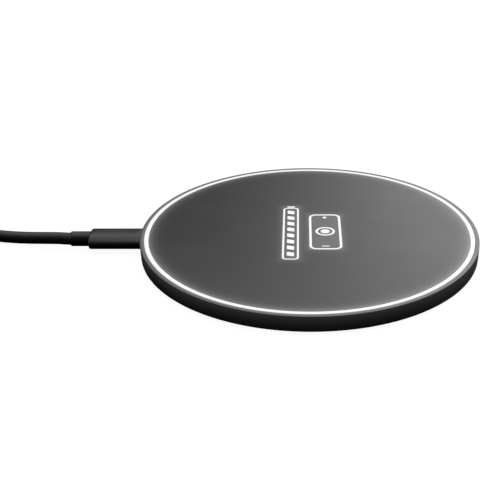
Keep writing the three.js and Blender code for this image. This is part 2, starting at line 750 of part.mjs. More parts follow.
// ---------------------------------------------------------------------------
// The whole object
// ---------------------------------------------------------------------------
const object = new THREE.Group();
const pad = new THREE.Group();
const lead = new THREE.Group();
object.add(pad, lead);

addCase(pad);
addLighting(pad);
addCoil(pad);
addBoard(pad);
addSocket(pad);
addPlug(lead);
addCord(lead);
addFarPlug(lead);

export default object;
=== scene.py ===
import json
import math

import bmesh
import bpy
from mathutils import Matrix, Vector


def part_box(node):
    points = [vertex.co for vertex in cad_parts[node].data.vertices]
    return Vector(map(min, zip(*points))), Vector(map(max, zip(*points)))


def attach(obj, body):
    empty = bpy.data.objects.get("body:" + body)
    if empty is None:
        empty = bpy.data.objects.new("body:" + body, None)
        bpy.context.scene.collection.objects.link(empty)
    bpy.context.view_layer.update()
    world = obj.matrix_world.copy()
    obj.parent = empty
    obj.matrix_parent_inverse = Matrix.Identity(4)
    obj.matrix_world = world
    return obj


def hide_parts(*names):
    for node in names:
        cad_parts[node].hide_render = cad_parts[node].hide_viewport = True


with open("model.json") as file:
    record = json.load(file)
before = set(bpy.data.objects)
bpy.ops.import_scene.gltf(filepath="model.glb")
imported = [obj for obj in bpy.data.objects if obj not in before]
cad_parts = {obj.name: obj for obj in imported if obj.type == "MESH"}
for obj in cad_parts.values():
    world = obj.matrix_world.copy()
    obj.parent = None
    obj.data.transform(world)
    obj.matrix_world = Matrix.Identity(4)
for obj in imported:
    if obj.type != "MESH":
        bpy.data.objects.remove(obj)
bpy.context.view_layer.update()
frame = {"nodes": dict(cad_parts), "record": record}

# A thin round wireless charging pad with a lit ring and lit marks, and its plug-in lead.
# Metres, +Z up, the table at Z = 0. The lead leaves towards +Y.
MM = 0.001

# --- Sizes and places that come from the frame ---
PAD_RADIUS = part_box("housing")[1].x
PAD_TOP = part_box("housing")[1].z
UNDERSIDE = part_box("housing")[0].z
PANEL_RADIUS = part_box("top_panel")[1].x
PANEL_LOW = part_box("top_panel")[0].z
RING_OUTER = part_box("light_ring")[1].x
SEAT_GAP = 0.1 * MM  # between pieces that seat on or in each other
COVER_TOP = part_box("ferrite_disc")[0].z - SEAT_GAP
LEDGE_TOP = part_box("light_board")[0].z - SEAT_GAP
BOARD_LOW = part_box("main_board")[0].z
FOOT_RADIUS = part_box("anti_slip_foot")[1].x
FOOT_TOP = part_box("anti_slip_foot")[1].z
SCREW_LOW, SCREW_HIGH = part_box("cover_screw_1")
SCREW_CIRCLE = ((SCREW_LOW + SCREW_HIGH) / 2).xy.length
GRIP_LOW, GRIP_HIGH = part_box("plug_grip")
PLUG_HEIGHT = (GRIP_LOW.z + GRIP_HIGH.z) / 2
TUBE_LOW, TUBE_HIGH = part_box("plug_shell")
COLLAR_LOW, COLLAR_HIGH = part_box("plug_collar")
INSERT_LOW, INSERT_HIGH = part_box("plug_insert")
SOCKET_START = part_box("socket_shell")[0].y
FAR_GRIP_LOW, FAR_GRIP_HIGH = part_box("far_plug_grip")
FAR_COLLAR_LOW, FAR_COLLAR_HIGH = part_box("far_plug_collar")
FAR_TUBE_LOW, FAR_TUBE_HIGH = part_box("far_plug_shell")
FAR_INSERT_LOW, FAR_INSERT_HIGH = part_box("far_plug_insert")


def half_size(name):
    low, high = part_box(name)
    return (high - low) / 2


TUBE_HALF = half_size("plug_shell")
SOCKET_HALF = half_size("socket_shell")
FAR_GRIP_HALF = half_size("far_plug_grip")
FAR_TUBE_HALF = half_size("far_plug_shell")

# The rest of the sizes, which the frame holds but no box gives
RING_INNER = PANEL_RADIUS + SEAT_GAP
WALL_INNER = RING_OUTER + SEAT_GAP
LEDGE_REACH = 1.9 * MM
FOOT_WIDTH = 5.3 * MM
GROOVE_DEPTH = 0.25 * MM
BOSS_RADIUS = 2.0 * MM
BOSS_HEIGHT = 1.75 * MM
BOSS_RIB_WIDTH = 2.4 * MM
SCREW_RADIUS = 0.7 * MM
SEAT_RADIUS = 2.6 * MM
SEAT_HEIGHT = 0.5 * MM
HEAD_RADIUS = 1.6 * MM
SCREW_PASS = 0.95 * MM
POST_RADIUS = 1.2 * MM
POST_ANGLES = (35, 90, 145)
POST_CIRCLE = 33.4 * MM
CORD_RADIUS = 1.85 * MM

ROUND = 256  # steps round the pad
SMALL_ROUND = 48  # steps round a screw post, collar or small disc
QUARTER_STEPS = 6  # steps round the edge of a plug's grip
CORNER_STEPS = 8
TIGHT_STEPS = 3  # steps round a tiny corner
CREASE = 32  # degrees between faces from which an edge is drawn sharp
GRIP_CREASE = 40
ON_AXIS = 1e-7  # a radius so small that it is a point on the axis
SCREW_ANGLES = (45, 135, 225, 315)
CORNER_SIDES = ((1, -1), (1, 1), (-1, 1), (-1, -1))  # a box's corners, counterclockwise

# --- Camera: looks across the pad, with the lead on the left ---
CAMERA_PLACE = (-274.47 * MM, 2.75 * MM, 137.43 * MM)
CAMERA_TURN = 3.07  # degrees from +X towards +Y
CAMERA_TILT = 26.67  # degrees below the horizon
CAMERA_ROLL = 1.37  # degrees
CAMERA_LENS = 73.49  # millimetres
CAMERA_SENSOR = 36  # millimetres
CAMERA_NEAR = 0.01
CAMERA_FAR = 30


def make_camera():
    turn, tilt, roll = (math.radians(angle) for angle in (CAMERA_TURN, CAMERA_TILT, CAMERA_ROLL))
    level = Vector((math.cos(turn), math.sin(turn), 0))
    forward = level * math.cos(tilt) - Vector((0, 0, math.sin(tilt)))
    level_right = level.cross(Vector((0, 0, 1)))
    level_up = level_right.cross(forward)
    right = level_right * math.cos(roll) - level_up * math.sin(roll)
    up = level_right * math.sin(roll) + level_up * math.cos(roll)
    data = bpy.data.cameras.new("camera")
    data.sensor_width = CAMERA_SENSOR
    data.lens = CAMERA_LENS
    data.clip_start = CAMERA_NEAR
    data.clip_end = CAMERA_FAR
    camera = added("camera", data)
    axes = Matrix((right, up, -forward)).transposed().to_4x4()
    camera.matrix_world = Matrix.Translation(CAMERA_PLACE) @ axes
    bpy.context.scene.camera = camera


# --- Outlines ---
def rounded(corners, steps=5):
    """A closed outline from corners (a, b, radius), each corner with a radius drawn as an arc."""
    outline = []
    for i, (a, b, radius) in enumerate(corners):
        corner = Vector((a, b))
        if radius == 0:
            outline.append((a, b))
            continue
        before = (Vector(corners[i - 1][:2]) - corner).normalized()
        after = (Vector(corners[(i + 1) % len(corners)][:2]) - corner).normalized()
        half = before.angle(after) / 2
        middle = corner + (before + after).normalized() * radius / math.sin(half)
        start = corner + before * radius / math.tan(half) - middle
        end = corner + after * radius / math.tan(half) - middle
        sweep = start.angle(end)
        for step in range(steps + 1):
            share = step / steps
            arm = start * math.sin((1 - share) * sweep) + end * math.sin(share * sweep)
            outline.append(tuple(middle + arm / math.sin(sweep)))
    return outline


def rounded_box(half_wide, half_high, corner, steps=6):
    """A rounded rectangle round the origin, counterclockwise."""
    return rounded([(a * half_wide, b * half_high, corner) for a, b in CORNER_SIDES], steps)


def circle(radius, steps, centre=(0, 0)):
    angles = [2 * math.pi * i / steps for i in range(steps)]
    return [(centre[0] + radius * math.cos(a), centre[1] + radius * math.sin(a)) for a in angles]


def moved(outline, centre):
    return [(centre[0] + a, centre[1] + b) for a, b in outline]


def oval(wide, high, steps=16):
    """A slot shape: straight above and below, with round ends."""
    end = high / 2
    straight = wide / 2 - end
    outline = []
    for side in (1, -1):
        for step in range(steps + 1):
            angle = math.pi * (step / steps - 0.5)
            outline.append((side * (straight + end * math.cos(angle)), side * end * math.sin(angle)))
    return outline


def oval_towards(wide, high, direction):
    """The point of that slot shape which lies in a direction from its middle."""
    end = high / 2
    straight = wide / 2 - end
    across, up = direction.normalized()
    if abs(up) * straight >= end * abs(across):
        return Vector((across, up)) * (end / abs(up))
    reach = straight * abs(across)
    reach += math.sqrt(reach * reach - straight * straight + end * end)
    return Vector((across, up)) * reach


def edge_round(radius, steps=QUARTER_STEPS):
    """A quarter round by steps of (inset from the side, distance from the end), from the end on."""
    angles = [math.pi / 2 * step / steps for step in range(steps + 1)]
    return [(radius * (1 - math.sin(a)), radius * (1 - math.cos(a))) for a in angles]


def tube_profile(low, high, wall, lip, steps):
    """A thin tube's (inset, y): up its outside, round the lip at its low end and back inside."""
    profile = [(0, high)]
    for step in range(steps + 1):
        angle = math.pi * step / steps
        profile.append((wall / 2 * (1 - math.cos(angle)), low + lip * (1 - math.sin(angle))))
    profile.append((wall, high))
    return profile


def insert_stations(low, high, edge):
    """(inset, y) of an insert's sections: its front edge is bevelled."""
    return ((edge, low), (0, low + edge), (0, high))


# --- Meshes ---
def added(name, data):
    """A new object of the scene, with a mesh, curve, lamp or camera as its data."""
    piece = bpy.data.objects.new(name, data)
    bpy.context.scene.collection.objects.link(piece)
    return piece


def mesh_object(name, points, faces):
    mesh = bpy.data.meshes.new(name)
    mesh.from_pydata(points, [], faces)
    body = bmesh.new()
    body.from_mesh(mesh)
    bmesh.ops.recalc_face_normals(body, faces=body.faces)
    body.to_mesh(mesh)
    body.free()
    return added(name, mesh)


def turned(name, profile, steps=ROUND):
    """A solid turned about Z from a closed profile of (radius, height)."""
    points = []
    rings = []
    for radius, height in profile:
        start = len(points)
        if radius < ON_AXIS:
            points.append((0, 0, height))
            rings.append([start] * steps)
        else:
            points.extend((x, y, height) for x, y in circle(radius, steps))
            rings.append(list(range(start, start + steps)))
    return mesh_object(name, points, bands(rings, True))


def bands(rings, loop):
    """Faces between neighbouring rings of point numbers; a loop's last ring meets its first."""
    faces = []
    pairs = list(zip(rings, rings[1:] + rings[:1]))
    if not loop:
        pairs.pop()
    for low, high in pairs:
        for i in range(len(low)):
            j = (i + 1) % len(low)
            corners = list(dict.fromkeys((low[i], low[j], high[j], high[i])))
            if len(corners) > 2:
                faces.append(corners)
    return faces


def lofted(name, sections, loop=False):
    """A skin over sections of 3-D points, closed by flat ends unless the sections form a loop."""
    points = [point for section in sections for point in section]
    size = len(sections[0])
    rings = [list(range(i * size, (i + 1) * size)) for i in range(len(sections))]
    faces = bands(rings, loop)
    if not loop:
        faces.extend([rings[0], rings[-1]])
    return mesh_object(name, points, faces)


def plates(name, shapes):
    """Flat plates in one mesh: each is an outline, a hole's outline or None, and its low and high."""
    points = []
    faces = []
    for outline, hole, low, high in shapes:
        loops = [outline] if hole is None else [outline, hole]
        rings = []
        for loop in loops:
            for height in (low, high):
                rings.append(list(range(len(points), len(points) + len(loop))))
                points.extend((x, y, height) for x, y in loop)
        faces.extend(bands(rings[:2], False))
        if hole is None:
            faces.extend(rings)
        else:
            faces.extend(bands(rings[2:], False))
            faces.extend(bands([rings[0], rings[2]], False))
            faces.extend(bands([rings[1], rings[3]], False))
    return mesh_object(name, points, faces)


def along_y(outline, y):
    return [(a, y, PLUG_HEIGHT + b) for a, b in outline]


def boolean(piece, tool, operation):
    modifier = piece.modifiers.new("boolean", "BOOLEAN")
    modifier.operation = operation
    modifier.solver = "EXACT"
    modifier.object = tool
    depsgraph = bpy.context.evaluated_depsgraph_get()
    mesh = bpy.data.meshes.new_from_object(piece.evaluated_get(depsgraph))
    piece.modifiers.clear()
    piece.data = mesh
    bpy.data.objects.remove(tool)


def place(piece, x=0, y=0, z=0, angle=0):
    """Turns a piece's mesh about Z by an angle in degrees, then moves it."""
    turn = Matrix.Rotation(math.radians(angle), 4, "Z")
    piece.data.transform(Matrix.Translation((x, y, z)) @ turn)
    return piece


def on_circle(piece, radius, angle):
    """Moves a piece that stands on the pad's axis out to a radius, in a direction in degrees."""
    turn = math.radians(angle)
    return place(piece, radius * math.cos(turn), radius * math.sin(turn))


def lay_along_y(piece, x, z):
    """Lays a piece turned about Z along Y, its heights as distances along Y."""
    tilt = Matrix.Rotation(math.radians(-90), 4, "X")
    piece.data.transform(Matrix.Translation((x, 0, z)) @ tilt)
    return piece


def finished(piece, body, slot, *nodes, crease=CREASE):
    """Gives a piece its finish and its body, and hides the frame's nodes that it stands for."""
    piece.data.materials.clear()
    piece.data.materials.append(finish_of(slot))
    if piece.type == "MESH":
        piece.data.shade_smooth()
        piece.data.set_sharp_from_angle(angle=math.radians(crease))
    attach(piece, body)
    if nodes:
        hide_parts(*nodes)
    return piece


# --- Finishes ---
# Light that leaks into the panel beside the ring and the marks: its strength at their edge, and the
# distance over which it falls by e
HALO_RING = 0.17
HALO_RING_FADE = 1.15 * MM
HALO_MARK = 0.075
HALO_MARK_FADE = 0.9 * MM
# and into the housing, from the ring's outer edge across the rim; below the rim, painted light on the wall
# fades down from the ring's outer edge, so the wall is lighter at the top and darker towards its foot
LEAK_RIM = 0.11
LEAK_RIM_FADE = 1.6 * MM
# painted light on the wall: a glow that is strongest near the rim and fades towards the wall's foot
WALL_PAINTED_LIGHT = 0.043
WALL_PAINTED_LIGHT_FADE = 1.6 * MM
# Moulded plastic: how far its gloss and its shade vary, and how deep its grain is
GLOSS_LESS = 0.06
GLOSS_MORE = 0.05
SHADE_SPREAD = 0.12
GRAIN_DEPTH = 0.006 * MM
THREAD = 0.34 * MM  # from thread to thread in the strap


class Nodes:
    """A node tree, to which nodes are added with their inputs set or linked."""

    def __init__(self, owner):
        owner.use_nodes = True
        self.tree = owner.node_tree

    def node(self, kind, inputs=None, **settings):
        node = self.tree.nodes.new(kind)
        for key, value in settings.items():
            setattr(node, key, value)
        for key, value in (inputs or {}).items():
            if isinstance(value, bpy.types.NodeSocket):
                self.tree.links.new(value, node.inputs[key])
            else:
                node.inputs[key].default_value = value
        return node

    def maths(self, operation, first, second=0.0, third=0.0):
        inputs = {0: first, 1: second, 2: third}
        return self.node("ShaderNodeMath", inputs, operation=operation).outputs[0]


class Finish(Nodes):
    """A node material: one Principled shader, and the textures that drive it."""

    def __init__(self, name, colour, roughness, metallic=0.0, specular=0.5):
        self.material = bpy.data.materials.new(name)
        super().__init__(self.material)
        self.shader = self.tree.nodes["Principled BSDF"]
        self.set("Base Color", (*colour, 1))
        self.set("Roughness", roughness)
        self.set("Metallic", metallic)
        self.set("Specular IOR Level", specular)
        self.place = self.node("ShaderNodeTexCoord").outputs["Object"]
        self.normal = None

    def set(self, socket, value):
        self.shader.inputs[socket].default_value = value

    def drive(self, socket, source):
        self.tree.links.new(source, self.shader.inputs[socket])

    def noise(self, size, detail=2.0, stretch=None):
        """Soft noise whose lumps are about that size, in metres."""
        place = self.place
        if stretch:
            mapping = self.node("ShaderNodeMapping", {"Vector": place, "Scale": stretch})
            place = mapping.outputs["Vector"]
        inputs = {"Vector": place, "Scale": 1 / size, "Detail": detail}
        return self.node("ShaderNodeTexNoise", inputs).outputs["Fac"]

    def cells(self, size, feature="F1"):
        inputs = {"Vector": self.place, "Scale": 1 / size}
        return self.node("ShaderNodeTexVoronoi", inputs, feature=feature).outputs["Distance"]

    def ranged(self, source, low, high, start=0.3, end=0.7):
        inputs = {"Value": source, "From Min": start, "From Max": end, "To Min": low, "To Max": high}
        return self.node("ShaderNodeMapRange", inputs).outputs["Result"]

    def vary_roughness(self, source, low, high):
        self.drive("Roughness", self.ranged(source, low, high))

    def vary_colour(self, source, low, high, start=0.3, end=0.7):
        share = self.ranged(source, 0, 1, start, end)
        mix = self.node("ShaderNodeMix", data_type="RGBA")
        self.tree.links.new(share, mix.inputs["Factor"])
        ends = {"A": low, "B": high}
        for socket in mix.inputs:
            if socket.type == "RGBA":
                socket.default_value = (*ends[socket.name], 1)
        result = [socket for socket in mix.outputs if socket.type == "RGBA"][0]
        self.drive("Base Color", result)

    def bump(self, height, depth):
        """Raises the surface by up to depth metres where height is 1."""
        inputs = {"Height": height, "Distance": depth, "Strength": 1.0}
        if self.normal:
            inputs["Normal"] = self.normal
        self.normal = self.node("ShaderNodeBump", inputs).outputs["Normal"]
        self.drive("Normal", self.normal)

    def glow(self, strength):
        """White light of its own, as strong everywhere or as a source says."""
        self.set("Emission Color", (1, 1, 1, 1))
        if isinstance(strength, bpy.types.NodeSocket):
            self.drive("Emission Strength", strength)
        else:
            self.set("Emission Strength", strength)

    def axes(self):
        return self.node("ShaderNodeSeparateXYZ", {"Vector": self.place}).outputs


def grey(value, warm=0.0):
    """A grey, slightly warm above zero and slightly cool below."""
    return (value * (1 + warm), value, value * (1 - warm))


def moulded(name, shade, roughness, grain=0.12 * MM, specular=0.5):
    """Moulded plastic with a fine spark-eroded grain, and faint handling marks in its gloss."""
    finish = Finish(name, grey(shade), roughness, specular=specular)
    handled = finish.noise(9 * MM, 4)
    finish.vary_roughness(handled, roughness - GLOSS_MORE, roughness + GLOSS_LESS)
    dark, light = grey(shade * (1 - SHADE_SPREAD)), grey(shade * (1 + SHADE_SPREAD))
    finish.vary_colour(finish.noise(2.5 * MM, 5), dark, light)
    finish.bump(finish.noise(grain, 3), GRAIN_DEPTH)
    return finish


def housing_plastic():
    """Satin black; the ring's light also leaks a little into the rim outside it, and painted light on the
    wall makes it lighter at the top and darker towards its foot.
    """
    finish = moulded("housing_plastic", 0.008, 0.37)
    across, along, up = finish.axes()
    outwards = finish.maths("SUBTRACT", distance(finish, across, along), RING_OUTER)
    outwards = finish.maths("MAXIMUM", outwards, 0.0)
    downwards = finish.maths("SUBTRACT", PAD_TOP, up)
    on_rim = finish.ranged(up, 0, 1, PAD_TOP - RIM_EDGE, PAD_TOP)
    rim_light = finish.maths("MULTIPLY", fading(finish, outwards, LEAK_RIM, LEAK_RIM_FADE), on_rim)
    # painted light down the wall, strongest at the ring's outer edge, so the wall is lighter at the top
    # and darker towards its foot
    away = distance(finish, outwards, downwards)
    painted_wall_light = fading(finish, away, WALL_PAINTED_LIGHT, WALL_PAINTED_LIGHT_FADE)
    finish.glow(finish.maths("ADD", rim_light, painted_wall_light))
    return finish.material


def plug_plastic():
    return moulded("plug_plastic", 0.009, 0.34, 0.1 * MM, specular=0.4).material


def foot_silicone():
    finish = moulded("foot_silicone", 0.022, 0.72, 0.2 * MM, specular=0.3)
    dust = finish.noise(1.2 * MM, 6)
    finish.vary_colour(dust, grey(0.018), grey(0.032), 0.45, 0.75)
    return finish.material


def top_panel():
    """Satin print under a clear hard coat; light leaks into it beside the ring and the marks."""
    finish = Finish("top_panel", grey(0.009), 0.34)
    finish.vary_roughness(finish.noise(14 * MM, 5), 0.31, 0.37)
    finish.vary_colour(finish.noise(0.35 * MM, 6), grey(0.0075), grey(0.0105))
    finish.bump(finish.noise(0.16 * MM, 3), 0.004 * MM)

    across, along, _ = finish.axes()
    inwards = finish.maths("SUBTRACT", RING_INNER, distance(finish, across, along))
    light = fading(finish, inwards, HALO_RING, HALO_RING_FADE)
    for centre, half in (GAUGE_BOX, PHONE_BOX):
        beside = outside(finish, across, centre[0], half[0])
        above = outside(finish, along, centre[1], half[1])
        glow = fading(finish, distance(finish, beside, above), HALO_MARK, HALO_MARK_FADE)
        light = finish.maths("ADD", light, glow)
    finish.glow(light)
    return finish.material


def distance(finish, first, second):
    """The length of a step that is first one way and second the other."""
    first_square = finish.maths("MULTIPLY", first, first)
    return finish.maths("SQRT", finish.maths("MULTIPLY_ADD", second, second, first_square))


def outside(finish, value, centre, half):
    """How far a coordinate lies outside a span, and 0 inside it."""
    offset = finish.maths("ABSOLUTE", finish.maths("SUBTRACT", value, centre))
    return finish.maths("MAXIMUM", finish.maths("SUBTRACT", offset, half), 0.0)


def fading(finish, distance, strength, fade):
    """strength at distance 0, which falls by e for each fade of distance."""
    power = finish.maths("DIVIDE", distance, -fade)
    return finish.maths("MULTIPLY", finish.maths("EXPONENT", power), strength)


def lit_diffuser():
    finish = Finish("lit_diffuser", grey(0.3), 0.45)
    finish.bump(finish.noise(0.25 * MM, 3), 0.01 * MM)
    finish.glow(finish.ranged(finish.noise(5 * MM, 3), 0.54, 0.6))
    return finish.material


def light_guide():
    finish = Finish("light_guide", (0.9, 0.93, 0.95), 0.4)
    finish.set("Transmission Weight", 0.6)
    dots = finish.cells(0.8 * MM)
    finish.vary_roughness(dots, 0.25, 0.6)
    finish.bump(dots, 0.02 * MM)
    return finish.material


def white_film():
    finish = Finish("white_film", grey(0.8), 0.55)
    finish.vary_colour(finish.noise(3 * MM, 4), grey(0.74, 0.01), grey(0.84))
    finish.bump(finish.noise(0.3 * MM, 3), 0.01 * MM)
    return finish.material


def circuit_board():
    """Solder mask over copper: the traces stand a little proud and look a little lighter."""
    finish = Finish("circuit_board", (0.01, 0.09, 0.04), 0.35)
    traces = finish.cells(1.6 * MM, "DISTANCE_TO_EDGE")
    finish.vary_colour(traces, (0.03, 0.17, 0.08), (0.008, 0.075, 0.032), 0.05, 0.09)
    finish.bump(finish.ranged(traces, 1, 0, 0.05, 0.09), 0.03 * MM)
    finish.vary_roughness(finish.noise(2 * MM, 3), 0.28, 0.42)
    return finish.material


def steel():
    """Deep-drawn plated steel, with fine draw lines along the plug."""
    finish = Finish("steel", (0.42, 0.42, 0.41), 0.26, metallic=1.0)
    lines = finish.noise(0.12 * MM, 4, stretch=(1, 0.04, 1))
    finish.vary_roughness(lines, 0.2, 0.36)
    finish.vary_colour(finish.noise(1.5 * MM, 5), (0.37, 0.37, 0.36), (0.47, 0.47, 0.46))
    finish.bump(lines, 0.002 * MM)
    return finish.material


def ferrite():
    finish = Finish("ferrite", grey(0.05), 0.6)
    finish.vary_colour(finish.cells(0.5 * MM), grey(0.03), grey(0.08), 0.1, 0.8)
    finish.bump(finish.noise(0.3 * MM, 6), 0.02 * MM)
    return finish.material


def copper():
    """Enamelled copper, shaded along its strands."""
    finish = Finish("copper", (0.62, 0.26, 0.11), 0.3, metallic=1.0)
    finish.vary_colour(finish.noise(0.4 * MM, 5), (0.5, 0.19, 0.08), (0.72, 0.34, 0.15))
    finish.bump(finish.noise(0.2 * MM, 4), 0.01 * MM)
    finish.set("Coat Weight", 0.6)
    return finish.material


def foam():
    finish = Finish("foam", grey(0.12), 0.95)
    pores_and_painted_shade = finish.cells(0.45 * MM)
    # painted shade: the pits of the pores, where the bump sinks deepest, are painted darker
    finish.vary_colour(pores_and_painted_shade, grey(0.05), grey(0.16), 0.1, 0.6)
    finish.bump(pores_and_painted_shade, 0.15 * MM)
    return finish.material


def chip_black():
    return moulded("chip_black", 0.018, 0.55, 0.08 * MM).material


def ceramic_chip():
    finish = Finish("ceramic_chip", (0.36, 0.25, 0.14), 0.5)
    finish.vary_colour(finish.noise(0.3 * MM, 6), (0.3, 0.2, 0.11), (0.42, 0.3, 0.18))
    finish.bump(finish.noise(0.1 * MM, 4), 0.008 * MM)
    return finish.material


def cord_jacket():
    """Extruded jacket: a soft sheen, fine drawn grain and the odd scuff."""
    finish = Finish("cord_jacket", grey(0.009), 0.42, specular=0.4)
    finish.vary_roughness(finish.noise(6 * MM, 4), 0.37, 0.48)
    finish.vary_colour(finish.noise(1.5 * MM, 5), grey(0.0075), grey(0.011))
    finish.bump(finish.noise(0.14 * MM, 4), 0.008 * MM)
    return finish.material


def tie_fabric():
    """Woven strap: over and under threads a third of a millimetre wide, with painted shade where they dip
    under each other.
    """
    finish = Finish("tie_fabric", grey(0.02), 0.9, specular=0.2)
    across, along, up = finish.axes()
    turn = math.radians(TIE_ANGLE)
    outwards = turned_axis(finish, across, along, math.cos(turn), math.sin(turn))
    sideways = turned_axis(finish, across, along, -math.sin(turn), math.cos(turn))
    warp = finish.maths("SINE", finish.maths("MULTIPLY", sideways, 2 * math.pi / THREAD))
    run = finish.maths("ADD", outwards, up)
    weft = finish.maths("SINE", finish.maths("MULTIPLY", run, 2 * math.pi / THREAD))
    weave_and_painted_shade = finish.maths("MULTIPLY", warp, weft)
    # painted shade: the strap is painted darker where the threads dip and lighter where they rise,
    # following the bump
    finish.vary_colour(weave_and_painted_shade, grey(0.012), grey(0.035), -0.8, 0.8)
    finish.bump(finish.ranged(weave_and_painted_shade, 0, 1, -1, 1), 0.08 * MM)
    finish.bump(finish.noise(0.12 * MM, 4), 0.04 * MM)
    finish.set("Sheen Weight", 0.3)
    return finish.material


def turned_axis(finish, across, along, share_across, share_along):
    first = finish.maths("MULTIPLY", across, share_across)
    return finish.maths("MULTIPLY_ADD", along, share_along, first)


FINISHES = {make.__name__: make for make in (
    housing_plastic, plug_plastic, foot_silicone, top_panel, lit_diffuser, light_guide, white_film,
    circuit_board, steel, ferrite, copper, foam, chip_black, ceramic_chip, cord_jacket, tie_fabric,
)}
made_finishes = {}


def finish_of(slot):
    if slot not in made_finishes:
        made_finishes[slot] = FINISHES[slot]()
    return made_finishes[slot]


# --- The cord: from the plug to its coil, the coil's turns, and on to the far plug ---
# millimetres
LEAD_ROUTE = [
    (0, 71.9, 3.18),
    (0.2, 73.3, 3.16),
    (0.5, 74.9, 3.1),
    (0.9, 77.5, 2.97),
    (1.45, 80.8, 2.73),
    (2.1, 84, 2.45),
    (2.85, 87, 2.17),
    (3.6, 90.2, 1.96),
    (4.3, 93.2, 1.87),
    (5.05, 96.5, 1.86),
    (5.85, 100, 1.86),
    (6.6, 103.2, 1.86),
    (7.4, 106.5, 1.86),
    (8.2, 109.8, 1.86),
    (9, 113.1, 1.86),
]
TAIL_ROUTE = [
    (-20.5, 148.5, 5.5),
    (-24.5, 148.4, 5.25),
    (-28.5, 148.1, 4.85),
    (-32.5, 147.5, 4.35),
    (-36.4, 146.3, 3.9),
    (-40.1, 144.5, 3.6),
    (-43.4, 142.1, 3.4),
    (-46.2, 139.2, 3.4),
    (-48.5, 135.9, 3.5),
    (-50.1, 132.4, 3.75),
    (-51, 128.7, 3.95),
    (-51.2, 124.8, 4),
]
ROOT_IN_COLLAR = 0.8 * MM  # how far each end of the cord runs inside its collar
COIL_CENTRE = (-14.9 * MM, 122.2 * MM)
COIL_START = -14  # degrees from +X, where the lead meets the coil
LAYER_SWEEP = 1260  # degrees of turns in each layer
LAST_SWEEP = 104  # degrees more on top, before the cord leaves for the far plug
TURN_STEP = 15  # degrees between points
COIL_OUTER = 25.4 * MM  # the cord's middle in the outermost turn
COIL_LAST = 26.4 * MM
TURN_PITCH = 2 * CORD_RADIUS
LOW_LAYER = 1.86 * MM
HIGH_LAYER = 5.56 * MM
CLIMB_SWEEP = 70  # degrees over which the cord climbs to the upper layer
TIE_ANGLE = 140  # degrees from +X to the strap
TIE_LIFT = 0.52 * MM  # the lower turns pass over the strap
TIE_LIFT_FLAT = 3.6 * MM  # from the strap's middle, lifted in full
TIE_LIFT_END = 14 * MM  # and down on the table again
CORD_SIDE_STEPS = 7
CORD_RUN_STEPS = 5


def smooth_share(value, start, end):
    share = min(max((value - start) / (end - start), 0), 1)
    return share * share * (3 - 2 * share)


def tie_lift(angle, radius):
    """How far a lower turn is raised at an angle, where it passes over the strap."""
    off = (angle - TIE_ANGLE + 180) % 360 - 180
    away = abs(math.radians(off)) * radius
    return TIE_LIFT * (1 - smooth_share(away, TIE_LIFT_FLAT, TIE_LIFT_END))


def coil_route():
    """Turns side by side: one layer winds inwards on the table, the next outwards on top of it."""
    inner = COIL_OUTER - TURN_PITCH * LAYER_SWEEP / 360
    points = []
    sweep = 0
    while sweep < 2 * LAYER_SWEEP + LAST_SWEEP:
        angle = COIL_START + sweep
        climb = smooth_share(sweep, LAYER_SWEEP, LAYER_SWEEP + CLIMB_SWEEP)
        if sweep <= LAYER_SWEEP:
            radius = COIL_OUTER - TURN_PITCH * sweep / 360
        elif sweep <= 2 * LAYER_SWEEP:
            radius = inner + TURN_PITCH * (sweep - LAYER_SWEEP) / 360
        else:
            radius = COIL_OUTER + (COIL_LAST - COIL_OUTER) * (sweep - 2 * LAYER_SWEEP) / LAST_SWEEP
        height = LOW_LAYER + (HIGH_LAYER - LOW_LAYER) * climb
        height += tie_lift(angle, radius) * (1 - climb)
        reach = math.radians(angle)
        x = COIL_CENTRE[0] + radius * math.cos(reach)
        y = COIL_CENTRE[1] + radius * math.sin(reach)
        points.append((x, y, height))
        sweep += TURN_STEP
    return points


def smooth_curve(name, points, radius):
    data = bpy.data.curves.new(name, "CURVE")
    data.dimensions = "3D"
    data.bevel_depth = radius
    data.bevel_resolution = CORD_SIDE_STEPS
    data.resolution_u = CORD_RUN_STEPS
    data.use_fill_caps = True
    spline = data.splines.new("BEZIER")
    spline.bezier_points.add(len(points) - 1)
    for bezier, point in zip(spline.bezier_points, points):
        bezier.co = point
        bezier.handle_left_type = "AUTO"
        bezier.handle_right_type = "AUTO"
    return added(name, data)


def make_cord():
    lead, tail = ([[MM * value for value in point] for point in way] for way in (LEAD_ROUTE, TAIL_ROUTE))
    root = Vector((0, ROOT_IN_COLLAR, 0))
    route = [Vector(lead[0]) - root, *lead, *coil_route(), *tail, Vector(tail[-1]) - root]
    cord = smooth_curve("lead_cord", route, CORD_RADIUS)
    return finished(cord, "lead", "cord_jacket", "cord_lead", "cord_coil", "cord_tail")


# The strap: a band round the turns, its end laid back over its top
STRAP_INNER = 10.65 * MM  # from the coil's middle
STRAP_OUTER = 26.0 * MM
STRAP_THICK = 0.5 * MM
STRAP_HALF_WIDE = 3 * MM
STRAP_TOP = 7.48 * MM
STRAP_CORNER = 1.3 * MM
STRAP_EDGE = 0.16 * MM
FLAP_THICK = 0.24 * MM
FLAP_START = 13.4 * MM
FLAP_END = 24.2 * MM
FLAP_STEPS = 12


def strap_section(centre, outwards, thick):
    """The band's section at a point of its middle line; outwards is its face's direction."""
    outline = rounded_box(STRAP_HALF_WIDE, thick / 2, STRAP_EDGE, TIGHT_STEPS)
    reach, height = centre
    out, up = outwards
    return [(reach + rise * out, side, height + rise * up) for side, rise in outline]


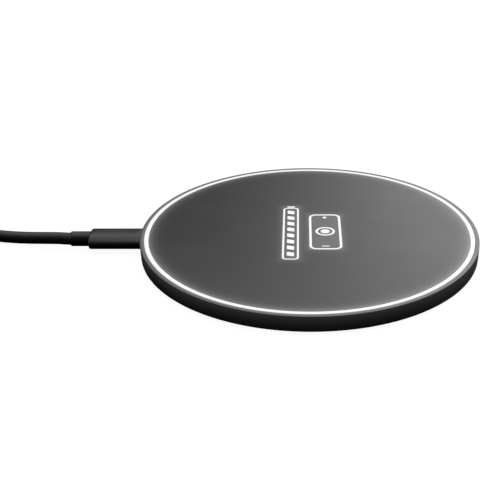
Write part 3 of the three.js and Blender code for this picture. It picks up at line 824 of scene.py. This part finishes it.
def make_strap_band():
    middle = ((STRAP_INNER + STRAP_OUTER) / 2, STRAP_THICK / 2 + STRAP_TOP / 2)
    half_wide = (STRAP_OUTER - STRAP_INNER + STRAP_THICK) / 2
    path = rounded_box(half_wide, STRAP_TOP / 2, STRAP_CORNER, CORNER_STEPS)
    path = [Vector(point) for point in moved(path, middle)]
    sections = []
    for i, centre in enumerate(path):
        run = (path[(i + 1) % len(path)] - path[i - 1]).normalized()
        sections.append(strap_section(centre, (run.y, -run.x), STRAP_THICK))
    band = place(lofted("cord_strap", sections, loop=True), *COIL_CENTRE, 0, TIE_ANGLE)
    return finished(band, "lead", "tie_fabric", "cable_tie")


def make_strap_end():
    height = STRAP_TOP + STRAP_THICK + FLAP_THICK / 2
    sections = []
    for step in range(FLAP_STEPS + 1):
        reach = FLAP_START + (FLAP_END - FLAP_START) * step / FLAP_STEPS
        sections.append(strap_section((reach, height), (0, 1), FLAP_THICK))
    flap = place(lofted("cord_strap_end", sections), *COIL_CENTRE, 0, TIE_ANGLE)
    return finished(flap, "lead", "tie_fabric")


# --- The plug in the pad's side ---
GRIP_FRONT_EDGE = 0.22 * MM
GRIP_FRONT_STEPS = 5
GRIP_REAR_EDGE = 0.62 * MM
GRIP_FACE_RADIUS = PAD_RADIUS + 0.08 * MM  # the grip's front follows the pad's side
GRIP_FACE_SHARES = (0.25, 0.5, 0.75, 1)  # rings of the hollow front, from the tube out to the edge
GRIP_SIDE_SHARES = (0.12, 0.35, 0.6, 0.85)  # sections between the grip's edges
COLLAR_WAIST = 0.4 * MM  # the collar's last stretch, which tapers
COLLAR_TAPER = 0.3 * MM
COLLAR_EDGES = (0.15 * MM, 0.1 * MM)
INSERT_EDGE = 0.12 * MM
TUBE_WALL = 0.3 * MM
TUBE_LIP = 0.14 * MM
CONTACT_COUNT = 12
CONTACT_PITCH = 0.5 * MM
CONTACT_WIDE = 0.28 * MM
CONTACT_THICK = 0.1 * MM
# distances behind the tip and from the plug's middle along a contact, which bows inwards
CONTACT_BOW = ((0, 0.62 * MM), (0.5 * MM, 0.5 * MM), (1.2 * MM, 0.75 * MM))
CONTACT_ROOT = 0.8 * MM
CONTACT_SUNK = 0.9 * MM  # from the plug's mouth to the contacts' tips


def grip_outline(inset, steps=72, power=2.15):
    """The grip's section, a little fuller than an ellipse."""
    half_wide = GRIP_HIGH.x - inset
    half_high = (GRIP_HIGH.z - GRIP_LOW.z) / 2 - inset
    outline = []
    for x, z in circle(1, steps):
        across = math.copysign(abs(x) ** (2 / power), x)
        up = math.copysign(abs(z) ** (2 / power), z)
        outline.append(Vector((half_wide * across, half_high * up)))
    return outline


def grip_face(x):
    return math.sqrt(GRIP_FACE_RADIUS**2 - x**2)


def grip_section(outline, depth):
    """The outline at a depth behind the grip's hollow front."""
    return [(p.x, grip_face(p.x) + depth, PLUG_HEIGHT + p.y) for p in outline]


def make_grip():
    pocket_wide = 2 * (TUBE_HALF.x + SEAT_GAP)
    pocket_high = 2 * (TUBE_HALF.z + SEAT_GAP)
    pocket_end = TUBE_HIGH.y + SEAT_GAP
    rim = grip_outline(GRIP_FRONT_EDGE)
    pocket = [oval_towards(pocket_wide, pocket_high, point) for point in rim]
    sections = [along_y(pocket, pocket_end), grip_section(pocket, 0)]
    for share in GRIP_FACE_SHARES:
        ring = [a.lerp(b, share) for a, b in zip(pocket, rim)]
        sections.append(grip_section(ring, 0))
    for inset, depth in edge_round(GRIP_FRONT_EDGE, GRIP_FRONT_STEPS)[1:]:
        sections.append(grip_section(grip_outline(inset), depth))
    rear = GRIP_HIGH.y - GRIP_REAR_EDGE
    start = sections[-1]
    for share in GRIP_SIDE_SHARES:
        sections.append([(x, y + (rear - y) * share, z) for x, y, z in start])
    for inset, depth in reversed(edge_round(GRIP_REAR_EDGE)):
        sections.append(along_y(grip_outline(inset), GRIP_HIGH.y - depth))
    grip = lofted("lead_plug_grip", sections)
    return finished(grip, "lead", "plug_plastic", "plug_grip", crease=GRIP_CREASE)


def oval_tube(name, low, high, wall, lip, steps=8):
    """A thin oval tube along Y with a rounded lip at its low end."""
    sections = []
    for inset, y in tube_profile(low.y, high.y, wall, lip, steps):
        outline = oval(high.x - low.x - 2 * inset, high.z - low.z - 2 * inset)
        sections.append(along_y(outline, y))
    return lofted(name, sections, loop=True)


def make_contacts(name, y_low, y_high, side):
    """Spring strips on one side of the plug's mouth: side is 1 above the middle and -1 below."""
    profile = [(y_low + behind, rise) for behind, rise in CONTACT_BOW] + [(y_high, CONTACT_ROOT)]
    points = []
    faces = []
    for i in range(CONTACT_COUNT):
        left = (i - (CONTACT_COUNT - 1) / 2) * CONTACT_PITCH - CONTACT_WIDE / 2
        right = left + CONTACT_WIDE
        rings = []
        for y, rise in profile:
            near = PLUG_HEIGHT + side * rise
            far = near + side * CONTACT_THICK
            rings.append(list(range(len(points), len(points) + 4)))
            points.extend([(left, y, near), (right, y, near), (right, y, far), (left, y, far)])
        faces.extend(bands(rings, False))
        faces.extend([rings[0], rings[-1]])
    return mesh_object(name, points, faces)


def make_plug_insert():
    half = half_size("plug_insert")
    sections = []
    for inset, y in insert_stations(INSERT_LOW.y, INSERT_HIGH.y, INSERT_EDGE):
        sections.append(along_y(oval(2 * (half.x - inset), 2 * (half.z - inset)), y))
    insert = lofted("lead_plug_insert", sections)
    return finished(insert, "lead", "chip_black", "plug_insert")


def make_plug_collar():
    radius = COLLAR_HIGH.x
    start = COLLAR_LOW.y - SEAT_GAP
    profile = rounded([
        (0, start, 0),
        (radius, start, 0),
        (radius, COLLAR_HIGH.y - COLLAR_WAIST, COLLAR_EDGES[0]),
        (radius - COLLAR_TAPER, COLLAR_HIGH.y, COLLAR_EDGES[1]),
        (0, COLLAR_HIGH.y, 0),
    ])
    collar = lay_along_y(turned("lead_plug_collar", profile, SMALL_ROUND), 0, PLUG_HEIGHT)
    return finished(collar, "lead", "plug_plastic", "plug_collar")


def make_plug():
    tube = oval_tube("lead_plug_shell", TUBE_LOW, TUBE_HIGH, TUBE_WALL, TUBE_LIP)
    finished(tube, "lead", "steel", "plug_shell")
    pieces = [tube, make_plug_insert(), make_grip()]
    tips = TUBE_LOW.y + CONTACT_SUNK
    for side, word in ((1, "upper"), (-1, "lower")):
        strips = make_contacts("lead_contacts_" + word, tips, INSERT_LOW.y + INSERT_EDGE, side)
        pieces.append(finished(strips, "lead", "copper"))
    return pieces + [make_plug_collar()]


# --- The plug at the far end, a USB-A plug that points towards -Y ---
FAR_X = (FAR_GRIP_LOW.x + FAR_GRIP_HIGH.x) / 2
FAR_Z = (FAR_GRIP_LOW.z + FAR_GRIP_HIGH.z) / 2
FAR_CORNER = 2.6 * MM
FAR_EDGE = 0.9 * MM
FAR_POCKET_CORNER = 0.4 * MM
FAR_WAIST = 0.35 * MM  # how far each side of the grip draws in at its middle
FAR_WAIST_STEPS = 24
FAR_COLLAR_THIN = 2.3 * MM
FAR_COLLAR_EDGE = 0.15 * MM
FAR_WALL = 0.35 * MM
FAR_TUBE_CORNER = 0.6 * MM
FAR_LIP = 0.12 * MM
FAR_LIP_STEPS = 6
FAR_WINDOW = (1.15 * MM, 1.0 * MM)  # half size
FAR_WINDOW_CORNER = 0.2 * MM
FAR_WINDOW_PLACE = (2.6 * MM, 5.2 * MM)  # to each side of the middle, and behind the mouth
FAR_INSERT_EDGE = 0.15 * MM
FAR_INSERT_CORNER = 0.2 * MM
FAR_CONTACT = (0.6 * MM, 3.6 * MM)  # half size
FAR_CONTACT_CORNER = 0.15 * MM
FAR_CONTACT_PROUD = 0.08 * MM
FAR_CONTACT_SUNK = 0.2 * MM
# sideways from the middle, and from the insert's front; the outer two stand further forward
FAR_CONTACT_PLACES = ((-3.5 * MM, 0.6 * MM), (-1 * MM, 1.4 * MM), (1 * MM, 1.4 * MM), (3.5 * MM, 0.6 * MM))
RIB_COUNT = 4
RIB_START = 1.2 * MM
RIB_PITCH = 1.35 * MM
RIB_DEPTH = 0.35 * MM
RIB_GAP = 0.55 * MM
RIB_EDGE = 0.08 * MM


def far_section(half_wide, half_high, corner, y):
    outline = rounded_box(half_wide, half_high, corner, CORNER_STEPS)
    return [(a, y, b) for a, b in moved(outline, (FAR_X, FAR_Z))]


def make_far_grip():
    half_wide = FAR_GRIP_HALF.x
    half_high = FAR_GRIP_HALF.z
    tube_wide = FAR_TUBE_HALF.x + SEAT_GAP
    tube_high = FAR_TUBE_HALF.z + SEAT_GAP
    low = FAR_GRIP_LOW.y
    high = FAR_GRIP_HIGH.y
    pocket_end = FAR_TUBE_HIGH.y + SEAT_GAP
    sections = [far_section(tube_wide, tube_high, FAR_POCKET_CORNER, y) for y in (pocket_end, low)]

    def edge_section(inset, y):
        return far_section(half_wide - inset, half_high - inset, FAR_CORNER - inset, y)

    edge = edge_round(FAR_EDGE)
    sections.extend(edge_section(inset, low + depth) for inset, depth in edge)
    length = high - low - 2 * FAR_EDGE
    for step in range(1, FAR_WAIST_STEPS):
        share = step / FAR_WAIST_STEPS
        waist = FAR_WAIST * math.sin(math.pi * share) ** 2
        y = low + FAR_EDGE + length * share
        sections.append(far_section(half_wide - waist, half_high, FAR_CORNER, y))
    sections.extend(edge_section(inset, high - depth) for inset, depth in reversed(edge))
    grip = lofted("far_grip", sections)
    return finished(grip, "lead", "plug_plastic", "far_plug_grip", crease=GRIP_CREASE)


def make_far_collar():
    """A strain relief that tapers to the cord, with ring grooves to let it bend."""
    low = FAR_COLLAR_LOW.y
    high = FAR_COLLAR_HIGH.y
    wide = FAR_COLLAR_HIGH.x - FAR_X
    length = high - low

    def taper(along):
        return wide + (FAR_COLLAR_THIN - wide) * along / length

    corners = [(0, 0, 0), (wide, 0, 0)]
    for i in range(RIB_COUNT):
        start = RIB_START + i * RIB_PITCH
        end = start + RIB_GAP
        for depth, along in ((0, start), (RIB_DEPTH, start), (RIB_DEPTH, end), (0, end)):
            corners.append((taper(along) - depth, along, RIB_EDGE))
    corners.extend([(FAR_COLLAR_THIN, length, FAR_COLLAR_EDGE), (0, length, 0)])
    collar = turned("far_collar", rounded(corners, TIGHT_STEPS), SMALL_ROUND)
    lay_along_y(collar, FAR_X, FAR_Z)
    place(collar, 0, low, 0)
    return finished(collar, "lead", "plug_plastic", "far_plug_collar")


def make_far_shell():
    """The folded steel shell, with the two square windows of its upper face."""
    half = FAR_TUBE_HALF
    low = FAR_TUBE_LOW.y
    sections = []
    for inset, y in tube_profile(low, FAR_TUBE_HIGH.y, FAR_WALL, FAR_LIP, FAR_LIP_STEPS):
        sections.append(far_section(half.x - inset, half.z - inset, FAR_TUBE_CORNER - inset, y))
    shell = lofted("far_shell", sections, loop=True)
    aside, behind = FAR_WINDOW_PLACE
    for side in (-1, 1):
        window = rounded_box(*FAR_WINDOW, FAR_WINDOW_CORNER, TIGHT_STEPS)
        outline = moved(window, (FAR_X + side * aside, low + behind))
        tool = plates("window", [(outline, None, FAR_Z, FAR_Z + 2 * half.z)])
        boolean(shell, tool, "DIFFERENCE")
    return finished(shell, "lead", "steel", "far_plug_shell", crease=30)


def make_far_insert():
    low, high = FAR_INSERT_LOW, FAR_INSERT_HIGH
    middle = (low + high) / 2
    half = (high - low) / 2
    sections = []
    for inset, y in insert_stations(low.y, high.y, FAR_INSERT_EDGE):
        outline = rounded_box(half.x - inset, half.z - inset, FAR_INSERT_CORNER, TIGHT_STEPS)
        sections.append([(a, y, b) for a, b in moved(outline, (middle.x, middle.z))])
    insert = lofted("far_insert", sections)
    return finished(insert, "lead", "chip_black", "far_plug_insert")


def make_far_contacts():
    low = FAR_INSERT_LOW
    middle_x = (low.x + FAR_INSERT_HIGH.x) / 2
    strip = rounded_box(*FAR_CONTACT, FAR_CONTACT_CORNER, TIGHT_STEPS)
    shapes = []
    for aside, behind in FAR_CONTACT_PLACES:
        outline = moved(strip, (middle_x + aside, low.y + behind + FAR_CONTACT[1]))
        shapes.append((outline, None, low.z - FAR_CONTACT_PROUD, low.z + FAR_CONTACT_SUNK))
    return finished(plates("far_contacts", shapes), "lead", "copper")


# --- The pad's case ---
RIM_EDGE = 0.22 * MM
RIM_INNER_EDGE = 0.08 * MM
LOW_EDGE = 0.25 * MM
WALL_CROWN = 0.12 * MM  # how far the wall curves in at its foot
PORT_GAP = 0.15 * MM
PORT_FLARE = 0.22 * MM
PORT_FLARE_DEPTH = 0.35 * MM
PORT_PAST_WALL = 0.2 * MM
BAY_GAP = 0.85 * MM  # from the socket's sides to the bay's, and from the bay's end to the wall
COUNTERSINK_DEPTH = 0.7 * MM
LEDGE_EDGE = 0.1 * MM
SEAM_EDGE = 0.1 * MM  # edges beside the seams of the top
HIDDEN_EDGE = 0.05 * MM
COVER_EDGE = 0.12 * MM
COVER_FINE_EDGE = 0.06 * MM


def port_tool():
    """The hole for the socket, slightly flared where it meets the pad's side."""
    wide = 2 * (SOCKET_HALF.x + PORT_GAP)
    high = 2 * (SOCKET_HALF.z + PORT_GAP)
    stations = [(0, SOCKET_START), (0, PAD_RADIUS - PORT_FLARE_DEPTH)]
    stations.append((PORT_FLARE, PAD_RADIUS + PORT_PAST_WALL))
    sections = [along_y(oval(wide + 2 * g, high + 2 * g), y) for g, y in stations]
    return lofted("port", sections)


def screw_post(radius, low, high):
    profile = [(0, low), (radius, low), (radius, high), (0, high)]
    return turned("post", profile, SMALL_ROUND)


def box_tool(name, start, end, low, high):
    outline = [start, (end[0], start[1]), end, (start[0], end[1])]
    return plates(name, [(outline, None, low, high)])


def crowned_wall(steps=10):
    """The outer wall between its edges: upright at the top, and curving in towards the underside."""
    low = UNDERSIDE + LOW_EDGE
    high = PAD_TOP - RIM_EDGE
    for step in range(1, steps):
        share = step / steps
        yield (PAD_RADIUS - WALL_CROWN * (1 - share) ** 3, low + (high - low) * share, 0)


def make_housing():
    ledge_inner = WALL_INNER - LEDGE_REACH
    ledge_low = COVER_TOP + SEAT_GAP
    shell = turned("pad_housing", rounded([
        (WALL_INNER, UNDERSIDE, HIDDEN_EDGE),
        (PAD_RADIUS - WALL_CROWN, UNDERSIDE, LOW_EDGE),
        *crowned_wall(),
        (PAD_RADIUS, PAD_TOP, RIM_EDGE),
        (WALL_INNER, PAD_TOP, RIM_INNER_EDGE),
        (WALL_INNER, LEDGE_TOP, 0),
        (ledge_inner, LEDGE_TOP, LEDGE_EDGE),
        (ledge_inner, ledge_low, LEDGE_EDGE),
        (WALL_INNER, ledge_low, 0),
    ]))
    boss_low = COVER_TOP + SEAT_HEIGHT + SEAT_GAP
    for angle in SCREW_ANGLES:
        post = screw_post(BOSS_RADIUS, boss_low, boss_low + BOSS_HEIGHT)
        boolean(shell, on_circle(post, SCREW_CIRCLE, angle), "UNION")
        start = (SCREW_CIRCLE + SCREW_RADIUS, -BOSS_RIB_WIDTH / 2)
        end = (WALL_INNER - LEDGE_REACH / 2, BOSS_RIB_WIDTH / 2)
        rib = box_tool("rib", start, end, boss_low, LEDGE_TOP)
        boolean(shell, place(rib, angle=angle), "UNION")
        hole = screw_post(SCREW_RADIUS, 0, SCREW_HIGH.z + SEAT_GAP)
        boolean(shell, on_circle(hole, SCREW_CIRCLE, angle), "DIFFERENCE")
    half_wide = SOCKET_HALF.x + BAY_GAP
    bay = box_tool("bay", (-half_wide, SOCKET_START), (half_wide, WALL_INNER - BAY_GAP), 0, PANEL_LOW)
    boolean(shell, bay, "DIFFERENCE")
    boolean(shell, port_tool(), "DIFFERENCE")
    return finished(shell, "pad", "housing_plastic", "housing")


def make_cover():
    groove_top = UNDERSIDE + GROOVE_DEPTH
    foot_inner = FOOT_RADIUS - FOOT_WIDTH
    plate = turned("pad_cover", rounded([
        (0, UNDERSIDE, 0),
        (foot_inner - SEAT_GAP, UNDERSIDE, COVER_FINE_EDGE),
        (foot_inner - SEAT_GAP, groove_top, 0),
        (FOOT_RADIUS + SEAT_GAP, groove_top, 0),
        (FOOT_RADIUS + SEAT_GAP, UNDERSIDE, COVER_FINE_EDGE),
        (RING_OUTER, UNDERSIDE, COVER_EDGE),
        (RING_OUTER, COVER_TOP, COVER_FINE_EDGE),
        (0, COVER_TOP, 0),
    ]))
    middle = (groove_top + COVER_TOP) / 2
    for angle in SCREW_ANGLES:
        seat = screw_post(SEAT_RADIUS, middle, COVER_TOP + SEAT_HEIGHT)
        boolean(plate, on_circle(seat, SCREW_CIRCLE, angle), "UNION")
    for angle in POST_ANGLES:
        post = screw_post(POST_RADIUS, middle, BOARD_LOW - SEAT_GAP)
        boolean(plate, on_circle(post, POST_CIRCLE, angle), "UNION")
    cone_top = groove_top + COUNTERSINK_DEPTH
    for angle in SCREW_ANGLES:
        profile = [(0, 0), (HEAD_RADIUS, 0), (HEAD_RADIUS, groove_top), (SCREW_PASS, cone_top)]
        profile.extend([(SCREW_PASS, PAD_TOP), (0, PAD_TOP)])
        seat = turned("countersink", profile, SMALL_ROUND)
        boolean(plate, on_circle(seat, SCREW_CIRCLE, angle), "DIFFERENCE")
    return finished(plate, "pad", "housing_plastic", "bottom_cover")


FOOT_GROOVES = 4
FOOT_GROOVE_WIDE = 0.35 * MM
FOOT_GROOVE_DEEP = 0.2 * MM
FOOT_GROOVE_EDGE = 0.1 * MM
FOOT_EDGE = 0.3 * MM


def make_foot():
    """A silicone ring with rounded edges and fine grip grooves in its underside."""
    inner = FOOT_RADIUS - FOOT_WIDTH
    corners = [(FOOT_RADIUS, 0, FOOT_EDGE), (FOOT_RADIUS, FOOT_TOP, HIDDEN_EDGE)]
    corners.extend([(inner, FOOT_TOP, HIDDEN_EDGE), (inner, 0, FOOT_EDGE)])
    for i in range(FOOT_GROOVES):
        middle = inner + FOOT_WIDTH * (i + 1) / (FOOT_GROOVES + 1)
        start = middle - FOOT_GROOVE_WIDE / 2
        end = middle + FOOT_GROOVE_WIDE / 2
        corners.append((start, 0, HIDDEN_EDGE))
        corners.append((start, FOOT_GROOVE_DEEP, FOOT_GROOVE_EDGE))
        corners.append((end, FOOT_GROOVE_DEEP, FOOT_GROOVE_EDGE))
        corners.append((end, 0, HIDDEN_EDGE))
    foot = turned("pad_foot", rounded(corners, TIGHT_STEPS))
    return finished(foot, "pad", "foot_silicone", "anti_slip_foot")


def make_top():
    panel = turned("pad_top_panel", rounded([
        (0, PANEL_LOW, 0),
        (PANEL_RADIUS, PANEL_LOW, HIDDEN_EDGE),
        (PANEL_RADIUS, PAD_TOP, SEAM_EDGE),
        (0, PAD_TOP, 0),
    ]))
    finished(panel, "pad", "top_panel", "top_panel")
    ring = turned("pad_light_ring", rounded([
        (RING_INNER, PANEL_LOW, HIDDEN_EDGE),
        (RING_OUTER, PANEL_LOW, HIDDEN_EDGE),
        (RING_OUTER, PAD_TOP, SEAM_EDGE),
        (RING_INNER, PAD_TOP, SEAM_EDGE),
    ]))
    finished(ring, "pad", "lit_diffuser", "light_ring")


# --- The lit marks on the panel: a charge gauge, and a phone lying over the coil ---
MARK_SUNK = 0.05 * MM
MARK_PROUD = 0.015 * MM
MARK_CORNER_STEPS = 4
MARK_ROUND = 64
BUTTON_ROUND = 32
GAUGE_BOX = ((-0.2 * MM, 5.17 * MM), (18.15 * MM, 2.4 * MM))  # centre and half size
GAUGE_STROKE = 0.55 * MM
GAUGE_CORNER = 1.3 * MM
GAUGE_NUB = 1.1 * MM
GAUGE_NUB_GAP = 0.15 * MM
GAUGE_NUB_CORNER = 0.3 * MM
GAUGE_BARS = 8
GAUGE_MARGIN = 1.35 * MM  # from the frame's outside to the bars
GAUGE_BAR_SHARE = 0.56  # of a bar's pitch
GAUGE_BAR_CORNER = 0.22 * MM
GAUGE_SLANT = 0.6 * MM
PHONE_BOX = ((0.0, -5.06 * MM), (11.95 * MM, 4.75 * MM))
PHONE_STROKE = 0.7 * MM
PHONE_CORNER = 2.2 * MM
PHONE_RING = 2.9 * MM
PHONE_DISC = 1.35 * MM
PHONE_SPEAKER = (0.25 * MM, 1.1 * MM, 0.24 * MM)  # half size and corner
PHONE_SPEAKER_INSET = 2.1 * MM
PHONE_BUTTON = 0.6 * MM
PHONE_BUTTON_INSET = 2.2 * MM


def mark_plate(outline, hole=None):
    return (outline, hole, PAD_TOP - MARK_SUNK, PAD_TOP + MARK_PROUD)


def mark_frame(centre, half_wide, half_high, corner, stroke):
    lines = []
    for inset in (0, stroke):
        line = rounded_box(half_wide - inset, half_high - inset, corner - inset, CORNER_STEPS)
        lines.append(moved(line, centre))
    return mark_plate(*lines)


def gauge_shapes():
    centre, half = GAUGE_BOX
    left = centre[0] - half[0]
    right = centre[0] + half[0] - GAUGE_NUB
    middle = ((left + right) / 2, centre[1])
    half_wide = (right - left) / 2
    shapes = [mark_frame(middle, half_wide, half[1], GAUGE_CORNER, GAUGE_STROKE)]
    nub = rounded_box(GAUGE_NUB / 2 - GAUGE_NUB_GAP, half[1] / 2, GAUGE_NUB_CORNER, MARK_CORNER_STEPS)
    shapes.append(mark_plate(moved(nub, (right + GAUGE_NUB / 2 + GAUGE_NUB_GAP, centre[1]))))
    start = left + GAUGE_MARGIN
    pitch = (right - GAUGE_MARGIN - start) / GAUGE_BARS
    bar_high = half[1] - GAUGE_MARGIN
    bar_half = pitch * GAUGE_BAR_SHARE / 2
    for i in range(GAUGE_BARS):
        middle_x = start + pitch * (i + 0.5)
        corners = []
        for side, end in CORNER_SIDES:
            x = middle_x + side * bar_half + end * GAUGE_SLANT / 2
            corners.append((x, centre[1] + end * bar_high, GAUGE_BAR_CORNER))
        shapes.append(mark_plate(rounded(corners, TIGHT_STEPS)))
    return shapes


def phone_shapes():
    centre, half = PHONE_BOX
    shapes = [mark_frame(centre, half[0], half[1], PHONE_CORNER, PHONE_STROKE)]
    ring, hole = (circle(PHONE_RING - inset, MARK_ROUND, centre) for inset in (0, PHONE_STROKE))
    shapes.append(mark_plate(ring, hole))
    shapes.append(mark_plate(circle(PHONE_DISC, SMALL_ROUND, centre)))
    speaker = rounded_box(*PHONE_SPEAKER, MARK_CORNER_STEPS)
    speaker_at = (centre[0] - half[0] + PHONE_SPEAKER_INSET, centre[1])
    shapes.append(mark_plate(moved(speaker, speaker_at)))
    button_at = (centre[0] + half[0] - PHONE_BUTTON_INSET, centre[1])
    shapes.append(mark_plate(circle(PHONE_BUTTON, BUTTON_ROUND, button_at)))
    return shapes


def make_marks():
    for name, shapes in (("pad_mark_gauge", gauge_shapes()), ("pad_mark_phone", phone_shapes())):
        finished(plates(name, shapes), "pad", "lit_diffuser")


# --- What stays of the frame's own meshes ---
def dress_frame_nodes():
    slots = {subpart["node"]: subpart["material_slot"] for subpart in frame["record"]["subparts"]}
    for name, node in frame["nodes"].items():
        if node.hide_render:
            continue
        node.data.materials.clear()
        node.data.materials.append(finish_of(slots[name]))


# --- Floor and light ---
FLOOR_HALF = 12.0
FLOOR_DROP = 0.01 * MM
FLOOR_GLOW = 0.95  # the floor is lit from within, as a light table is
FLOOR_SHADE = 0.07
FLOOR_SPREAD = 0.05  # how far its shade varies, as a share


def make_floor():
    """A plain white floor. It gives the object no light of its own, so the dark sides stay dark."""
    mesh = bpy.data.meshes.new("floor")
    body = bmesh.new()
    bmesh.ops.create_grid(body, x_segments=4, y_segments=4, size=FLOOR_HALF)
    body.to_mesh(mesh)
    body.free()
    floor = added("floor", mesh)
    floor.location.z = -FLOOR_DROP
    floor.visible_diffuse = False
    floor.visible_glossy = False
    floor.visible_shadow = False
    finish = Finish("floor", grey(FLOOR_SHADE), 0.8, specular=0.1)
    dark, light = grey(FLOOR_SHADE * (1 - FLOOR_SPREAD)), grey(FLOOR_SHADE * (1 + FLOOR_SPREAD))
    finish.vary_colour(finish.noise(40 * MM, 3), dark, light)
    finish.glow(FLOOR_GLOW)
    floor.data.materials.append(finish.material)


SOFTBOX_PLACE = (-0.2, -0.5, 1.5)
SOFTBOX_SIZE = 1.6
SOFTBOX_WATTS = 12


def make_softbox():
    """A large softbox above, which looks at the pad."""
    data = bpy.data.lights.new("key_softbox", "AREA")
    data.shape = "RECTANGLE"
    data.size = SOFTBOX_SIZE
    data.size_y = SOFTBOX_SIZE
    data.energy = SOFTBOX_WATTS
    light = added("key_softbox", data)
    light.location = SOFTBOX_PLACE
    light.rotation_euler = (-Vector(SOFTBOX_PLACE)).to_track_quat("-Z", "Y").to_euler()


# The studio's surround is dark, with a soft window low behind the pad, towards -Y, and a long
# overhead softbox that reaches over the pad from one side to the other.
WINDOW_MIDDLE = (0.77, -0.5, 0.4)
# (cosine of the angle from the window's middle, share of its level)
WINDOW_SHARES = (
    (0.0, 0.0),
    (0.7, 0.03),
    (0.78, 0.07),
    (0.83, 0.14),
    (0.87, 0.34),
    (0.92, 0.7),
    (0.97, 1.0),
)
WINDOW_LEVEL = 2.2
# (angle over the pad from behind it as a share of a half turn, share of the softbox's level)
OVERHEAD_SHARES = (
    (0.0, 0.0),
    (0.1, 0.02),
    (0.15, 0.03),
    (0.2, 0.22),
    (0.26, 1.0),
    (0.32, 0.84),
    (0.38, 0.68),
    (0.52, 0.52),
    (0.58, 0.3),
    (0.64, 0.12),
    (0.72, 0.04),
    (1.0, 0.0),
)
OVERHEAD_LEVEL = 1.9


def graded(sky, source, shares, level):
    """A light level that follows a value from 0 to 1, by straight steps between shares."""
    ramp = sky.node("ShaderNodeValToRGB", {"Fac": source})
    stops = ramp.color_ramp.elements
    while len(stops) < len(shares):
        stops.new(0.5)
    for stop, (position, share) in zip(stops, shares):
        stop.position = position
        stop.color = (share, share, share, 1)
    return sky.maths("MULTIPLY", ramp.outputs["Color"], level)


def make_surround():
    world = bpy.data.worlds.new("studio")
    sky = Nodes(world)
    direction = sky.node("ShaderNodeTexCoord").outputs["Generated"]
    towards = {0: direction, 1: Vector(WINDOW_MIDDLE).normalized()}
    cosine = sky.node("ShaderNodeVectorMath", towards, operation="DOT_PRODUCT").outputs["Value"]
    window = graded(sky, cosine, WINDOW_SHARES, WINDOW_LEVEL)
    split = sky.node("ShaderNodeSeparateXYZ", {0: direction}).outputs
    over = sky.maths("DIVIDE", sky.maths("ARCTAN2", split["Z"], split["X"]), math.pi)
    overhead = graded(sky, over, OVERHEAD_SHARES, OVERHEAD_LEVEL)
    background = sky.tree.nodes["Background"].inputs["Color"]
    sky.tree.links.new(sky.maths("ADD", window, overhead), background)
    bpy.context.scene.world = world


# --- The whole scene ---
make_camera()
lead_cord = make_cord()
cord_pieces = [make_strap_band(), make_strap_end(), *make_plug()]
cord_pieces += [make_far_grip(), make_far_collar(), make_far_shell()]
cord_pieces += [make_far_insert(), make_far_contacts()]
make_housing()
make_cover()
make_foot()
make_top()
make_marks()
dress_frame_nodes()
make_floor()
make_surround()
make_softbox()
bpy.context.scene.view_settings.view_transform = "Standard"
